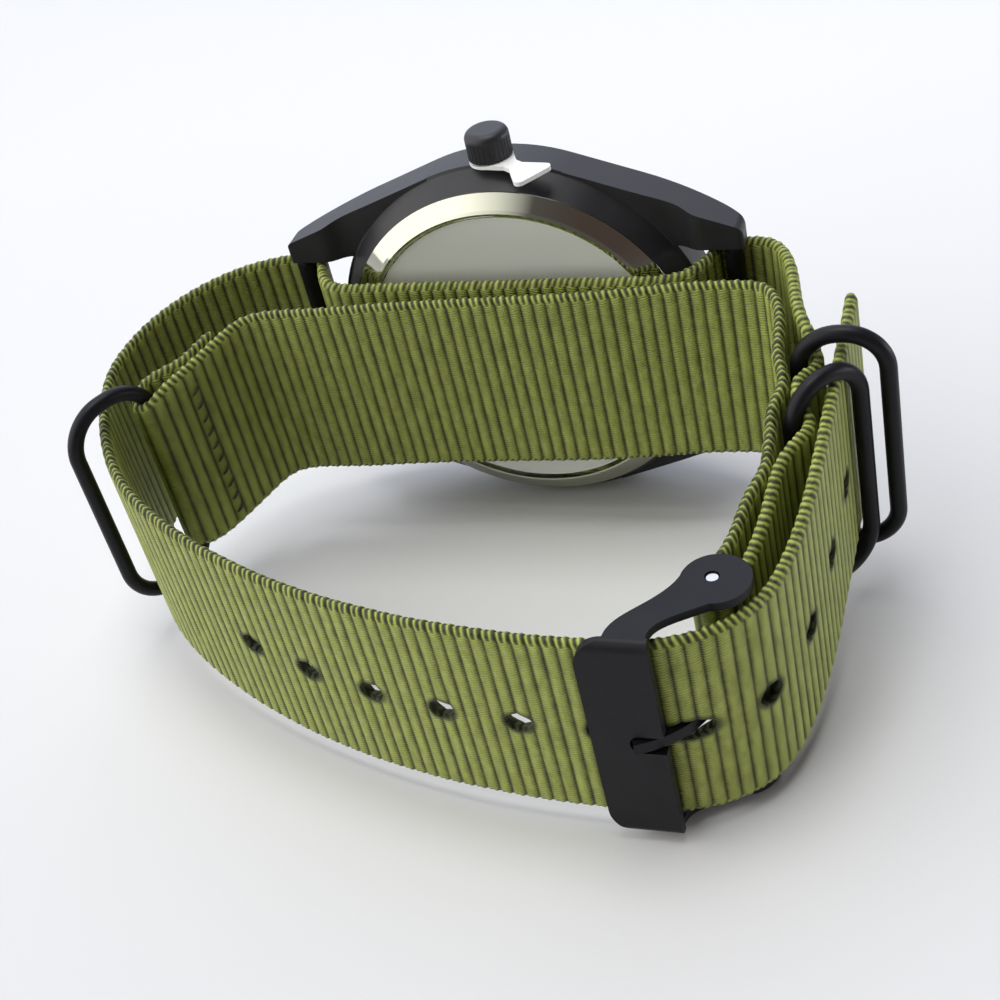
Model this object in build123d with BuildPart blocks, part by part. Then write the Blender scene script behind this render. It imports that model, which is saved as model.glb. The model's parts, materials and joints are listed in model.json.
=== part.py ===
from build123d import *
import os
from math import acos, atan2, cos, degrees, hypot, pi, radians, sin, sqrt

# Field watch on a long fabric pass-through strap, standing on the side of its case.
# Lengths are in millimetres. X runs towards twelve o'clock, Y runs out through the dial
# and Z runs up through the crown. The origin is on the floor under the middle of the watch.

os.makedirs("parts", exist_ok=True)

# Strap
strap_width = 20.0
strap_thick = 1.2
loop_length = 20.0
drop_start = 8.0
drop_end = 40.0
drop = 8.0
drop_bend_r = 38.0
strap_over_bar_r = 1.65
flat_run_in = 8.7
flat_run_depth = 7.0
hole_long = 2.6
hole_high = 2.3
tongue_hole_long = 4.8
hole_pitch = 7.3
holes_on_tail = 4
holes_in_front = 6
fold_slot = 2.4

# Case, as seen from the back
case_dia = 40.0
case_shift = 22.84
lug_reach = 3.9
lug_gap = 0.25
lug_wall = 2.15
lug_thick = 2.1
lug_round = 1.1
flank_front = 1.9
flank_back = 2.15
edge_step = 0.3
bezel_rise = 2.3
bezel_slope = 2.5
back_slope = 1.8
back_seat = 4.3
case_wall = 4.6
chamber_back = 3.6

# Snap back
back_edge = 5.5
back_flat = 5.1
back_ring_slope = 1.8
back_ring_lip = 0.5
back_collar_step = 1.4
back_collar_wall = 0.9
back_collar_depth = 1.3
gasket_wire = 0.35

# Crystal and its seal
bezel_flat = 2.5
crystal_front = 4.9
crystal_thick = 1.6
crystal_ledge = 0.8
crystal_bevel = 0.3
seal_wall = 0.4

# Dial and hands
dial_play = 0.2
dial_front = 1.7
dial_thick = 0.4
hand_thick = 0.2
hand_gap = 0.2
hour_width = 1.5
minute_width = 1.2
seconds_width = 0.4
hub_r = 1.1

# Lengths of the hands as shares of the dial's radius
hour_length_share = 0.566
minute_length_share = 0.829
seconds_length_share = 0.868
seconds_tail_share = 0.263

# Movement
holder_wall = 2.4
plate_thick = 1.3
work_pocket = 0.8
holder_gap = 0.05
arbor_r = 0.15
pipe_r = 0.32
cannon_r = 0.5
hour_pipe_r = 0.75
run_gap = 0.04
wheel_thick = 0.2
pinion_thick = 0.5
bridge_level = 2.3
bridge_thick = 0.4
stator_level = 0.68
stator_thick = 0.4
coil_level = 1.3
core_thick = 0.4
battery_thick = 2.1
clamp_thick = 0.2
clamp_wide = 2.2
board_thick = 0.3
quartz_r = 0.75
screw_head = 0.3

# Places and sizes in the movement, as shares of the radius of its plate
motion_reach_share = 0.2308
train_reach_share = 0.2077
fifth_reach_share = 0.2192
rotor_reach_share = 0.1662
setting_reach_share = 0.4808
clutch_reach_share = 0.5923
lever_reach_share = 0.3077
coil_length_share = 0.6923
coil_drop_share = 0.6615
coil_size_share = 0.0692
core_wide_share = 0.0692
stator_hole_share = 0.0769
rotor_magnet_share = 0.0538
battery_size_share = 0.3038
battery_place_share = (-0.569, 0.2)
quartz_length_share = 0.3846
screw_share = 0.0385
screw_head_share = 0.0692

# Stem and crown
stem_depth = 1.2
stem_r = 0.45
stem_square = 0.7
clutch_r = 0.95
clutch_length = 1.2
tube_r = 1.1
tube_stand = 0.3
tube_length = 3.2
crown_dia = 4.4
crown_gap = 0.5
crown_height = 2.8
crown_flutes = 30
flute_r = 0.14
crown_bore_r = 1.5
crown_round = 0.8

# Crown stop tab
tab_thick = 0.45
tab_tip = 0.05
tab_slot = 2.6
tab_prong = 0.9
tab_turn = -37.0
neck_long = 0.9
neck_half = 0.8
grip_long = 4.1
grip_half = 2.5
grip_round = 0.6

# Spring bars
bar_inset = 1.2
bar_depth = 2.3
bar_tube_r = 0.9
bar_bore_r = 0.65
bar_end_gap = 0.35
bar_lip = 0.35
bar_pin_r = 0.4
bar_collar_r = 0.6
bar_collar = 0.6
bar_pin_inside = 2.4
bar_pin_stand = 1.25

# Rings on the strap
ring_wire_r = 0.8
fold_ring_corner_r = 4.4
keeper_corner_r = 3.7
ring_room = 0.1
fold_ring_reach = 9.6
upper_ring_reach = 7.8
lower_ring_reach = 7.8
fold_ring_gap = 0.9
upper_ring_gap = 0.8
lower_ring_gap = 0.3

# Buckle
pin_r = 0.75
fold_r = 1.45
pin_tip_r = 0.5
pin_tip_gap = 0.12
pin_tip_in = 0.15
ear_r = 2.95
ear_thick = 0.8
ear_gap = 0.45
buckle_lift = 0.15
buckle_corner_r = 2.6
buckle_bend_r = 0.9
buckle_plate = 1.0
plate_in = 5.5
plate_past = 0.7
plate_out = 49.0
notch_wide = 1.9
notch_in = 2.0
tongue_thick = 0.8
tongue_high = 1.1
tongue_eye_r = 1.35
tongue_gap = 0.05

# Clearances
fit_gap = 0.02
slide_gap = 0.05

# Sizes that follow from those above
case_r = case_dia / 2
slot_half = strap_width / 2 + lug_gap
lug_tip_half = slot_half + lug_wall
lug_x = case_r + lug_reach
bar_x = lug_x - bar_inset
bezel_r = case_r - bezel_slope
crystal_r = bezel_r - bezel_flat
crystal_seat_r = crystal_r - crystal_ledge
back_seat_r = case_r - back_slope
back_rim_r = back_seat_r - back_ring_slope
back_step_r = back_rim_r - back_ring_lip
chamber_r = case_r - case_wall
back_collar_r = chamber_r + back_collar_step
dial_r = chamber_r - dial_play
plate_r = chamber_r - holder_wall
motion_reach = motion_reach_share * plate_r
train_reach = train_reach_share * plate_r
fifth_reach = fifth_reach_share * plate_r
rotor_reach = rotor_reach_share * plate_r
setting_reach = setting_reach_share * plate_r
clutch_reach = clutch_reach_share * plate_r
lever_reach = lever_reach_share * plate_r
coil_length = coil_length_share * plate_r
coil_drop = coil_drop_share * plate_r
coil_r = coil_size_share * plate_r
core_wide = core_wide_share * plate_r
stator_hole_r = stator_hole_share * plate_r
rotor_magnet_r = rotor_magnet_share * plate_r
battery_r = battery_size_share * plate_r
battery_x = battery_place_share[0] * plate_r
battery_y = battery_place_share[1] * plate_r
quartz_length = quartz_length_share * plate_r
screw_r = screw_share * plate_r
screw_head_r = screw_head_share * plate_r
bar_half = slot_half - bar_end_gap
buckle_height = strap_width + 2 * (ear_gap + ear_thick)
case_z = case_r
far_out = 3 * case_dia
bar_home_share = 1.135


def spot(x, y):
    """A place in plan, counted from the centre of the case."""
    return (x, y + case_shift)


def case_plane(depth):
    """The plane square to the case axis, this far behind the middle of the flank."""
    return Plane(origin=(0, case_shift - depth, case_z), x_dir=(1, 0, 0), z_dir=(0, -1, 0))


def plan_plane(height):
    """The level plane this far above the middle of the case."""
    return Plane(origin=(0, 0, case_z + height))


def loop_spot(share):
    """A place of the strap, which keeps its distance from the spring bar on its side."""
    aside = bar_x - bar_home_share * loop_length
    return spot(share[0] * loop_length + (aside if share[0] > 0 else -aside), share[1] * loop_length)


def middle_height(y):
    """Height of the middle of the strap, which sinks towards the buckle."""
    fall = min(max((-y - drop_start) / (drop_end - drop_start), 0), 1)
    return -drop * fall


axis_section = Plane(origin=(0, case_shift, case_z), x_dir=(1, 0, 0), z_dir=(0, 0, -1))
case_axis = Axis((0, case_shift, case_z), (0, -1, 0))
side_plane = Plane(origin=(0, case_shift, case_z), x_dir=(0, 1, 0), z_dir=(1, 0, 0))


def save(part, name):
    part.label = name
    export_step(part, f"parts/{name}.step")


# Case middle with four lugs
lug_low = bar_depth + bar_tube_r
tip_angle = atan2(lug_tip_half, lug_x)
tangent_angle = tip_angle + acos(case_r / hypot(lug_tip_half, lug_x))
tangent_x = case_r * cos(tangent_angle)
tangent_y = case_r * sin(tangent_angle)
root_x = sqrt(chamber_r**2 - slot_half**2) + bezel_rise
stem_top = case_r + tube_stand

with BuildPart() as lug:
    with BuildSketch(case_plane(-flank_front)):
        with BuildLine():
            Polyline(
                (tangent_x, tangent_y),
                (lug_x, lug_tip_half),
                (lug_x, slot_half),
                (root_x, slot_half),
                (tangent_x, slot_half + lug_thick),
                close=True,
            )
        make_face()
        fillet(vertices().sort_by_distance((lug_x, lug_tip_half))[0], radius=lug_round)
    extrude(amount=flank_front + lug_low)
    with BuildSketch(axis_section.offset(-case_r)):
        with BuildLine():
            Polyline((lug_x, lug_low - lug_thick), (lug_x, lug_low), (case_r, lug_low))
            Spline(
                (case_r, lug_low),
                (back_seat_r, flank_back + edge_step),
                (root_x, flank_back),
                tangents=[(-1, 0), (-1, 0)],
            )
            Polyline((root_x, flank_back), (0, flank_back), (0, -flank_front), (root_x, -flank_front))
            Spline(
                (root_x, -flank_front),
                (case_r, -flank_front / 2),
                (lug_x, lug_low - lug_thick),
                tangents=[(1, 0), (1, 1)],
            )
        make_face()
        fillet(vertices().group_by(Axis.X)[-1], radius=lug_round / 2)
    extrude(amount=2 * case_r, mode=Mode.INTERSECT)
    with BuildSketch(plan_plane(0)):
        with Locations(spot(bar_x, -bar_depth)):
            Circle(bar_pin_r + slide_gap)
    extrude(amount=bar_half + bar_pin_stand + slide_gap, mode=Mode.SUBTRACT)

with BuildPart() as case_middle:
    with BuildSketch(axis_section):
        with BuildLine():
            Polyline(
                (0, -bezel_rise - flank_front),
                (bezel_r, -bezel_rise - flank_front),
                (case_r, -flank_front),
                (case_r, flank_back - edge_step / 2),
                (case_r - edge_step, flank_back),
                (back_seat_r, back_seat),
                (0, back_seat),
                close=True,
            )
        make_face()
    revolve(axis=case_axis)
    add(lug.part)
    add(lug.part.mirror(Plane.YZ))
    add(lug.part.mirror(Plane.XY.offset(case_z)))
    add(lug.part.mirror(Plane.XY.offset(case_z)).mirror(Plane.YZ))
    with BuildSketch(axis_section):
        with BuildLine():
            Polyline(
                (0, -bezel_rise - flank_front),
                (crystal_r + seal_wall, -bezel_rise - flank_front),
                (crystal_r + seal_wall, crystal_thick - crystal_front),
                (crystal_seat_r, crystal_thick - crystal_front),
                (crystal_seat_r, -dial_front),
                (chamber_r, -dial_front),
                (chamber_r, chamber_back - back_collar_depth),
                (back_collar_r + fit_gap, chamber_back - back_collar_depth),
                (back_collar_r + fit_gap, back_seat),
                (0, back_seat),
                close=True,
            )
        make_face()
    revolve(axis=case_axis, mode=Mode.SUBTRACT)
    with BuildSketch(plan_plane(chamber_r - bezel_rise)):
        with Locations(spot(0, -stem_depth)):
            Circle(tube_r)
    extrude(amount=case_r, mode=Mode.SUBTRACT)
save(case_middle.part, "case_middle")

# Snap back, with its polished ring and recessed flat centre
with BuildPart() as case_back:
    with BuildSketch(axis_section):
        with BuildLine():
            Polyline(
                (0, chamber_back),
                (back_collar_r - back_collar_wall, chamber_back),
                (back_collar_r - back_collar_wall, chamber_back - back_collar_depth + gasket_wire),
                (back_collar_r, chamber_back - back_collar_depth + gasket_wire),
                (back_collar_r, back_seat),
                (back_seat_r, back_seat),
                (back_seat_r, back_seat + gasket_wire / 2),
                (back_rim_r + edge_step, back_edge - edge_step / 2),
                (back_rim_r, back_edge),
                (back_step_r + edge_step, back_edge),
                (back_step_r, back_flat),
                (0, back_flat),
                close=True,
            )
        make_face()
    revolve(axis=case_axis)
save(case_back.part, "case_back")

with BuildPart() as back_gasket:
    with BuildSketch(case_plane(chamber_back - back_collar_depth)):
        Circle(back_collar_r - fit_gap)
        Circle(back_collar_r - back_collar_wall, mode=Mode.SUBTRACT)
    extrude(amount=gasket_wire)
save(back_gasket.part, "back_gasket")

# Crystal in its seal
with BuildPart() as crystal:
    with BuildSketch(axis_section):
        with BuildLine():
            Polyline(
                (0, -crystal_front),
                (crystal_r - crystal_bevel, -crystal_front),
                (crystal_r, crystal_bevel - crystal_front),
                (crystal_r, crystal_thick - crystal_front),
                (0, crystal_thick - crystal_front),
                close=True,
            )
        make_face()
    revolve(axis=case_axis)
save(crystal.part, "crystal")

with BuildPart() as crystal_seal:
    with BuildSketch(case_plane(-bezel_rise - flank_front)):
        Circle(crystal_r + seal_wall)
        Circle(crystal_r, mode=Mode.SUBTRACT)
    extrude(amount=bezel_rise + flank_front - crystal_front + crystal_thick)
save(crystal_seal.part, "crystal_seal")

# Dial
with BuildPart() as dial:
    with BuildSketch(case_plane(-dial_front)):
        Circle(dial_r)
        Circle(hour_pipe_r + slide_gap, mode=Mode.SUBTRACT)
    extrude(amount=dial_thick)
save(dial.part, "dial")

# Levels of the hands and of the motion work, all counted from the middle of the flank
plate_front = dial_thick - dial_front
plate_back = plate_front + plate_thick
pocket_floor = plate_front + work_pocket
hour_hand_level = -dial_front - hand_gap - hand_thick
minute_hand_level = hour_hand_level - hand_gap - hand_thick
seconds_hand_level = minute_hand_level - hand_gap - hand_thick
hour_wheel_level = plate_front + run_gap
minute_wheel_level = hour_wheel_level + wheel_thick + run_gap
centre_wheel_level = plate_back + wheel_thick
third_wheel_level = centre_wheel_level + wheel_thick + pinion_thick
seconds_wheel_level = third_wheel_level + wheel_thick + run_gap
fifth_wheel_level = seconds_wheel_level + wheel_thick + run_gap
bridge_back = bridge_level + bridge_thick

third_angle = -80
fifth_angle = 10
rotor_angle = -20
third_place = (train_reach * cos(radians(third_angle)), train_reach * sin(radians(third_angle)))
fifth_place = (fifth_reach * cos(radians(fifth_angle)), fifth_reach * sin(radians(fifth_angle)))
rotor_place = (
    fifth_place[0] + rotor_reach * cos(radians(rotor_angle)),
    fifth_place[1] + rotor_reach * sin(radians(rotor_angle)),
)

# Tooth form as shares of the module
tooth_top_share = 0.6
tooth_foot_share = 0.9
tip_width_share = 0.11
root_width_share = 0.28


def disc(plane, place, outer, inner, thick):
    with BuildPart() as made:
        with BuildSketch(plane):
            with Locations(place):
                Circle(outer)
                if inner:
                    Circle(inner, mode=Mode.SUBTRACT)
        extrude(amount=thick)
    return made.part


def gear(plane, place, teeth, pitch_r, inner, thick, turn):
    """A toothed wheel. Turn is the angle of its first tooth in tooth pitches."""
    module = 2 * pitch_r / teeth
    tip_r = pitch_r + tooth_top_share * module
    foot_r = pitch_r - tooth_foot_share * module
    step = 2 * pi / teeth
    points = []
    for tooth in range(teeth):
        middle = (tooth + turn) * step
        for reach, share in (
            (foot_r, -root_width_share),
            (tip_r, -tip_width_share),
            (tip_r, tip_width_share),
            (foot_r, root_width_share),
        ):
            angle = middle + share * step
            points.append((place[0] + reach * cos(angle), place[1] + reach * sin(angle)))
    with BuildPart() as made:
        with BuildSketch(plane):
            with BuildLine():
                Polyline(*points, close=True)
            make_face()
            if inner:
                with Locations(place):
                    Circle(inner, mode=Mode.SUBTRACT)
        extrude(amount=thick)
    return made.part


def tooth_turn(teeth, toward_degrees, gap_here):
    """Turn that puts a tooth, or a gap, at this angle."""
    pitches = toward_degrees / 360 * teeth
    return pitches + (1 / 2 if gap_here else 0)


centre = (0, 0)
minute_place = (0, motion_reach)

# Teeth of the motion work: three to one and four to one between the minute and hour hands
cannon_teeth = 12
minute_teeth = 36
minute_pinion_teeth = 10
hour_teeth = 40
cannon_pitch = motion_reach * cannon_teeth / (cannon_teeth + minute_teeth)
hour_pitch = motion_reach * hour_teeth / (hour_teeth + minute_pinion_teeth)

# Teeth of the going train
rotor_teeth = 8
fifth_teeth = 40
fifth_pinion_teeth = 6
seconds_teeth = 36
seconds_pinion_teeth = 6
third_teeth = 45
third_pinion_teeth = 6
centre_teeth = 48


def hand_outline(length, width, tail, tip_share):
    """Outline of a pointed hand that lies along the twelve o'clock direction."""
    return Polyline(
        (-tail, width / 4),
        (hub_r, width / 2),
        (length * tip_share, width / 2),
        (length, 0),
        (length * tip_share, -width / 2),
        (hub_r, -width / 2),
        (-tail, -width / 4),
        close=True,
    )


hour_angle = 54
minute_angle = -60
seconds_angle = 150
hour_tip_share = 0.8
minute_tip_share = 0.86
seconds_tip_share = 0.98

# Hour wheel with its pipe and the hour hand
hour_wheel = gear(case_plane(hour_wheel_level), centre, hour_teeth, hour_pitch, cannon_r + run_gap,
                  wheel_thick, tooth_turn(hour_teeth, 90, False))
with BuildPart() as hour_wheel_part:
    add(hour_wheel)
    with BuildSketch(case_plane(hour_hand_level)):
        Circle(hour_pipe_r)
        Circle(cannon_r + run_gap, mode=Mode.SUBTRACT)
    extrude(amount=hour_wheel_level - hour_hand_level)
save(hour_wheel_part.part, "hour_wheel")


def hand(name, level, bore, length, width, tail, tip_share, angle):
    with BuildPart() as made:
        with BuildSketch(case_plane(level)):
            with BuildLine():
                hand_outline(length, width, tail, tip_share)
            make_face()
            Circle(hub_r)
            Circle(bore, mode=Mode.SUBTRACT)
        extrude(amount=hand_thick)
    save(made.part.rotate(case_axis, angle), name)


hand("hour_hand", hour_hand_level, hour_pipe_r, hour_length_share * dial_r, hour_width, hub_r,
     hour_tip_share, hour_angle)
hand("minute_hand", minute_hand_level, cannon_r, minute_length_share * dial_r, minute_width, hub_r,
     minute_tip_share, minute_angle)

# Cannon pinion, which carries the minute hand on its pipe
with BuildPart() as cannon_pinion:
    add(gear(case_plane(minute_wheel_level), centre, cannon_teeth, cannon_pitch, pipe_r + run_gap,
             wheel_thick, tooth_turn(cannon_teeth, 90, True)))
    with BuildSketch(case_plane(minute_hand_level)):
        Circle(cannon_r)
        Circle(pipe_r + run_gap, mode=Mode.SUBTRACT)
    extrude(amount=minute_wheel_level - minute_hand_level)
save(cannon_pinion.part, "cannon_pinion")

# Minute wheel and its pinion on one arbor
with BuildPart() as minute_wheel:
    add(gear(case_plane(minute_wheel_level), minute_place, minute_teeth, motion_reach - cannon_pitch, 0,
             wheel_thick, tooth_turn(minute_teeth, -90, False)))
    add(gear(case_plane(hour_wheel_level), minute_place, minute_pinion_teeth, motion_reach - hour_pitch, 0,
             wheel_thick + run_gap, tooth_turn(minute_pinion_teeth, -90, True)))
    with BuildSketch(case_plane(minute_wheel_level)):
        with Locations(minute_place):
            Circle(arbor_r)
    extrude(amount=plate_back - minute_wheel_level)
save(minute_wheel.part, "minute_wheel")

# Setting wheel: one disc meets the minute wheel and the other meets the clutch wheel
setting_place = (0, setting_reach)
setting_r = setting_reach - 2 * motion_reach + cannon_pitch
with BuildPart() as setting_wheel:
    add(disc(case_plane(minute_wheel_level), setting_place, setting_r - run_gap, 0, wheel_thick))
    with BuildSketch(case_plane(minute_wheel_level)):
        with Locations(setting_place):
            Circle(arbor_r)
    extrude(amount=plate_back + wheel_thick - minute_wheel_level)
    with BuildSketch(case_plane(plate_back + run_gap)):
        with Locations(setting_place):
            Circle(clutch_reach - setting_reach + clutch_length / 2)
    extrude(amount=wheel_thick - run_gap)
save(setting_wheel.part, "setting_wheel")

# Centre wheel with its tube, third wheel, seconds wheel and fifth wheel
with BuildPart() as centre_wheel:
    add(gear(case_plane(centre_wheel_level), centre, centre_teeth,
             train_reach * centre_teeth / (centre_teeth + third_pinion_teeth), arbor_r + run_gap,
             wheel_thick, tooth_turn(centre_teeth, third_angle, False)))
    with BuildSketch(case_plane(minute_hand_level + hand_thick)):
        Circle(pipe_r)
        Circle(arbor_r + run_gap, mode=Mode.SUBTRACT)
    extrude(amount=centre_wheel_level - minute_hand_level - hand_thick)
save(centre_wheel.part, "centre_wheel")

with BuildPart() as third_wheel:
    add(gear(case_plane(third_wheel_level), third_place, third_teeth,
             train_reach * third_teeth / (third_teeth + seconds_pinion_teeth), 0, wheel_thick,
             tooth_turn(third_teeth, third_angle + 180, False)))
    add(gear(case_plane(centre_wheel_level - run_gap), third_place, third_pinion_teeth,
             train_reach * third_pinion_teeth / (centre_teeth + third_pinion_teeth), 0,
             pinion_thick, tooth_turn(third_pinion_teeth, third_angle + 180, True)))
    with BuildSketch(case_plane(plate_back - wheel_thick)):
        with Locations(third_place):
            Circle(arbor_r)
    extrude(amount=bridge_back - plate_back + wheel_thick)
save(third_wheel.part, "third_wheel")

with BuildPart() as seconds_wheel:
    add(gear(case_plane(seconds_wheel_level), centre, seconds_teeth,
             fifth_reach * seconds_teeth / (seconds_teeth + fifth_pinion_teeth), 0, wheel_thick,
             tooth_turn(seconds_teeth, fifth_angle, False)))
    add(gear(case_plane(third_wheel_level - run_gap), centre, seconds_pinion_teeth,
             train_reach * seconds_pinion_teeth / (third_teeth + seconds_pinion_teeth), 0,
             wheel_thick + run_gap, tooth_turn(seconds_pinion_teeth, third_angle, True)))
    with BuildSketch(case_plane(seconds_hand_level)):
        Circle(arbor_r)
    extrude(amount=bridge_back - seconds_hand_level)
save(seconds_wheel.part, "seconds_wheel")
hand("seconds_hand", seconds_hand_level, arbor_r, seconds_length_share * dial_r, seconds_width,
     seconds_tail_share * dial_r, seconds_tip_share, seconds_angle)

with BuildPart() as fifth_wheel:
    add(gear(case_plane(fifth_wheel_level), fifth_place, fifth_teeth,
             rotor_reach * fifth_teeth / (fifth_teeth + rotor_teeth), 0, wheel_thick,
             tooth_turn(fifth_teeth, rotor_angle, False)))
    add(gear(case_plane(seconds_wheel_level - run_gap), fifth_place, fifth_pinion_teeth,
             fifth_reach * fifth_pinion_teeth / (seconds_teeth + fifth_pinion_teeth), 0,
             wheel_thick + 2 * run_gap, tooth_turn(fifth_pinion_teeth, fifth_angle + 180, True)))
    with BuildSketch(case_plane(plate_back - wheel_thick)):
        with Locations(fifth_place):
            Circle(arbor_r)
    extrude(amount=bridge_back - plate_back + wheel_thick)
save(fifth_wheel.part, "fifth_wheel")

# Rotor of the step motor
with BuildPart() as rotor:
    add(gear(case_plane(fifth_wheel_level - run_gap), rotor_place, rotor_teeth,
             rotor_reach * rotor_teeth / (fifth_teeth + rotor_teeth), 0,
             wheel_thick + 2 * run_gap, tooth_turn(rotor_teeth, rotor_angle + 180, True)))
    with BuildSketch(case_plane(stator_level)):
        with Locations(rotor_place):
            Circle(rotor_magnet_r)
    extrude(amount=stator_thick + wheel_thick)
    with BuildSketch(case_plane(plate_back - wheel_thick)):
        with Locations(rotor_place):
            Circle(arbor_r)
    extrude(amount=bridge_back - plate_back + wheel_thick)
save(rotor.part, "rotor")

# Groove of the stem and the pivot of the lever that follows it
groove_low = plate_r - 2 * clutch_length
groove_long = clutch_length / 2
lever_place = (lever_reach, groove_low + groove_long / 2)

# Bottom plate of the movement
pillar_shares = [(-0.93, 1.26), (1.5, 1.4), (1.07, -1.87)]
pillar_places = [(x * train_reach, y * train_reach) for x, y in pillar_shares]
battery_post = (battery_x, battery_y + battery_r + screw_head_r)
with BuildPart() as movement_plate:
    with BuildSketch(case_plane(plate_front)):
        Circle(plate_r)
    extrude(amount=plate_thick)
    with BuildSketch(case_plane(plate_front)):
        Circle(hour_pitch + 4 * run_gap)
        with Locations(minute_place):
            Circle(motion_reach - cannon_pitch + 4 * run_gap)
        with Locations(setting_place):
            Circle(setting_r + run_gap)
    extrude(amount=work_pocket, mode=Mode.SUBTRACT)
    with BuildSketch(case_plane(plate_front)):
        Circle(pipe_r + run_gap)
        with Locations(minute_place, setting_place, third_place, fifth_place, rotor_place):
            Circle(arbor_r + run_gap)
        with Locations(lever_place):
            Circle(screw_r + run_gap)
    extrude(amount=plate_thick, mode=Mode.SUBTRACT)
    with BuildSketch(case_plane(plate_back)):
        with Locations(*pillar_places):
            Circle(screw_head_r)
    extrude(amount=bridge_level - plate_back)
save(movement_plate.part, "movement_plate")

# Train bridge on its three pillars, held by screws
bridge_pad_share = 1.3
with BuildPart() as train_bridge:
    with BuildSketch(case_plane(bridge_level)):
        with BuildLine():
            Polyline(*pillar_places[:2], rotor_place, pillar_places[2], close=True)
        make_face()
        with Locations(*pillar_places):
            Circle(bridge_pad_share * screw_head_r)
        with Locations(third_place, fifth_place, rotor_place, centre):
            Circle(screw_head_r)
        with Locations(third_place, fifth_place, rotor_place, centre):
            Circle(arbor_r + run_gap, mode=Mode.SUBTRACT)
    extrude(amount=bridge_thick)
save(train_bridge.part, "train_bridge")

with BuildPart() as bridge_screws:
    with BuildSketch(case_plane(bridge_back)):
        with Locations(*pillar_places):
            Circle(screw_head_r)
            Rectangle(2 * screw_head_r, screw_head / 2, mode=Mode.SUBTRACT)
    extrude(amount=screw_head)
    with BuildSketch(case_plane(bridge_back)):
        with Locations(*pillar_places):
            Circle(screw_head_r)
    extrude(amount=screw_head / 2)
save(bridge_screws.part, "bridge_screws")

# Step motor: coil on its core and the stator around the rotor
coil_middle = coil_length / 4
coil_left = coil_middle - coil_length / 2
coil_right = coil_middle + coil_length / 2
coil_end = (coil_left, case_shift - coil_level, case_z - coil_drop)
with BuildPart() as coil:
    with BuildSketch(Plane(coil_end, x_dir=(0, 0, 1), z_dir=(1, 0, 0))):
        Circle(coil_r)
        Rectangle(core_wide, core_thick, mode=Mode.SUBTRACT)
    extrude(amount=coil_length)
save(coil.part, "coil")

with BuildPart() as coil_core:
    with BuildSketch(case_plane(coil_level - core_thick / 2)):
        with Locations((coil_middle, -coil_drop)):
            Rectangle(coil_length + 4 * core_wide, core_wide)
        with Locations((coil_left - core_wide, -coil_drop), (coil_right + core_wide, -coil_drop)):
            Rectangle(2 * core_wide, 2 * core_wide)
    extrude(amount=core_thick)
save(coil_core.part, "coil_core")

leg_in = rotor_place[0] - stator_hole_r
leg_high = 3 * core_wide - 2 * slide_gap - coil_drop
with BuildPart() as stator:
    with BuildSketch(case_plane(stator_level)):
        with Locations(rotor_place):
            Circle(2 * stator_hole_r)
        with BuildLine():
            Polyline(
                (rotor_place[0] + stator_hole_r, rotor_place[1]),
                (coil_right + 2 * core_wide, -coil_drop - core_wide),
                (coil_right + slide_gap, -coil_drop - core_wide),
                (coil_right + slide_gap, -coil_drop + 2 * coil_r),
                (rotor_place[0], rotor_place[1]),
                close=True,
            )
        make_face()
        with BuildLine():
            Polyline(
                (rotor_place[0], rotor_place[1]),
                (leg_in, leg_high),
                (coil_left - 2 * core_wide, leg_high),
                (coil_left - 2 * core_wide, -coil_drop - core_wide),
                (coil_left - slide_gap, -coil_drop - core_wide),
                (coil_left - slide_gap, -coil_drop + 2 * core_wide),
                (leg_in + core_wide, -coil_drop + 2 * core_wide),
                (rotor_place[0] + core_wide, rotor_place[1]),
                close=True,
            )
        make_face()
        with Locations(rotor_place):
            Circle(stator_hole_r, mode=Mode.SUBTRACT)
    extrude(amount=stator_thick)
save(stator.part, "stator")

# Circuit board under the coil, with the quartz can lying on it
with BuildPart() as circuit_board:
    with BuildSketch(case_plane(plate_back)):
        Circle(plate_r - screw_r)
        with Locations((0, plate_r - coil_drop / 2 - screw_r)):
            Rectangle(2 * plate_r, 2 * plate_r + coil_drop - screw_r, mode=Mode.SUBTRACT)
    extrude(amount=board_thick)
save(circuit_board.part, "circuit_board")

quartz_level = plate_back + board_thick + quartz_r
quartz_left = (quartz_length + quartz_r) / 2 - plate_r
quartz_end = (quartz_left, case_shift - quartz_level, case_z - coil_drop + 2 * quartz_r)
with BuildPart() as quartz_can:
    with BuildSketch(Plane(quartz_end, x_dir=(0, 0, 1), z_dir=(1, 0, 0))):
        Circle(quartz_r)
    extrude(amount=quartz_length)
save(quartz_can.part, "quartz_can")

# Battery under its clamp
with BuildPart() as battery:
    with BuildSketch(case_plane(plate_back)):
        with Locations((battery_x, battery_y)):
            Circle(battery_r)
    extrude(amount=battery_thick)
save(battery.part, "battery")

with BuildPart() as battery_clamp:
    with BuildSketch(case_plane(plate_back + battery_thick)):
        with Locations((battery_x, battery_y + screw_head_r / 2)):
            Rectangle(clamp_wide, 2 * battery_r + screw_head_r)
        with Locations(battery_post):
            Circle(clamp_wide / 2)
    extrude(amount=clamp_thick)
    with BuildSketch(case_plane(plate_back)):
        with Locations(battery_post):
            Circle(screw_r)
    extrude(amount=battery_thick)
save(battery_clamp.part, "battery_clamp")

# Holder that centres the movement in the case
with BuildPart() as movement_holder:
    with BuildSketch(case_plane(plate_front)):
        Circle(chamber_r - fit_gap)
        Circle(plate_r + holder_gap, mode=Mode.SUBTRACT)
    extrude(amount=chamber_back - back_collar_depth - plate_front)
    with BuildSketch(plan_plane(plate_r - bezel_rise)):
        with Locations(spot(0, -stem_depth)):
            Circle(tube_r + slide_gap)
    extrude(amount=case_r, mode=Mode.SUBTRACT)
save(movement_holder.part, "movement_holder")

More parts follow.
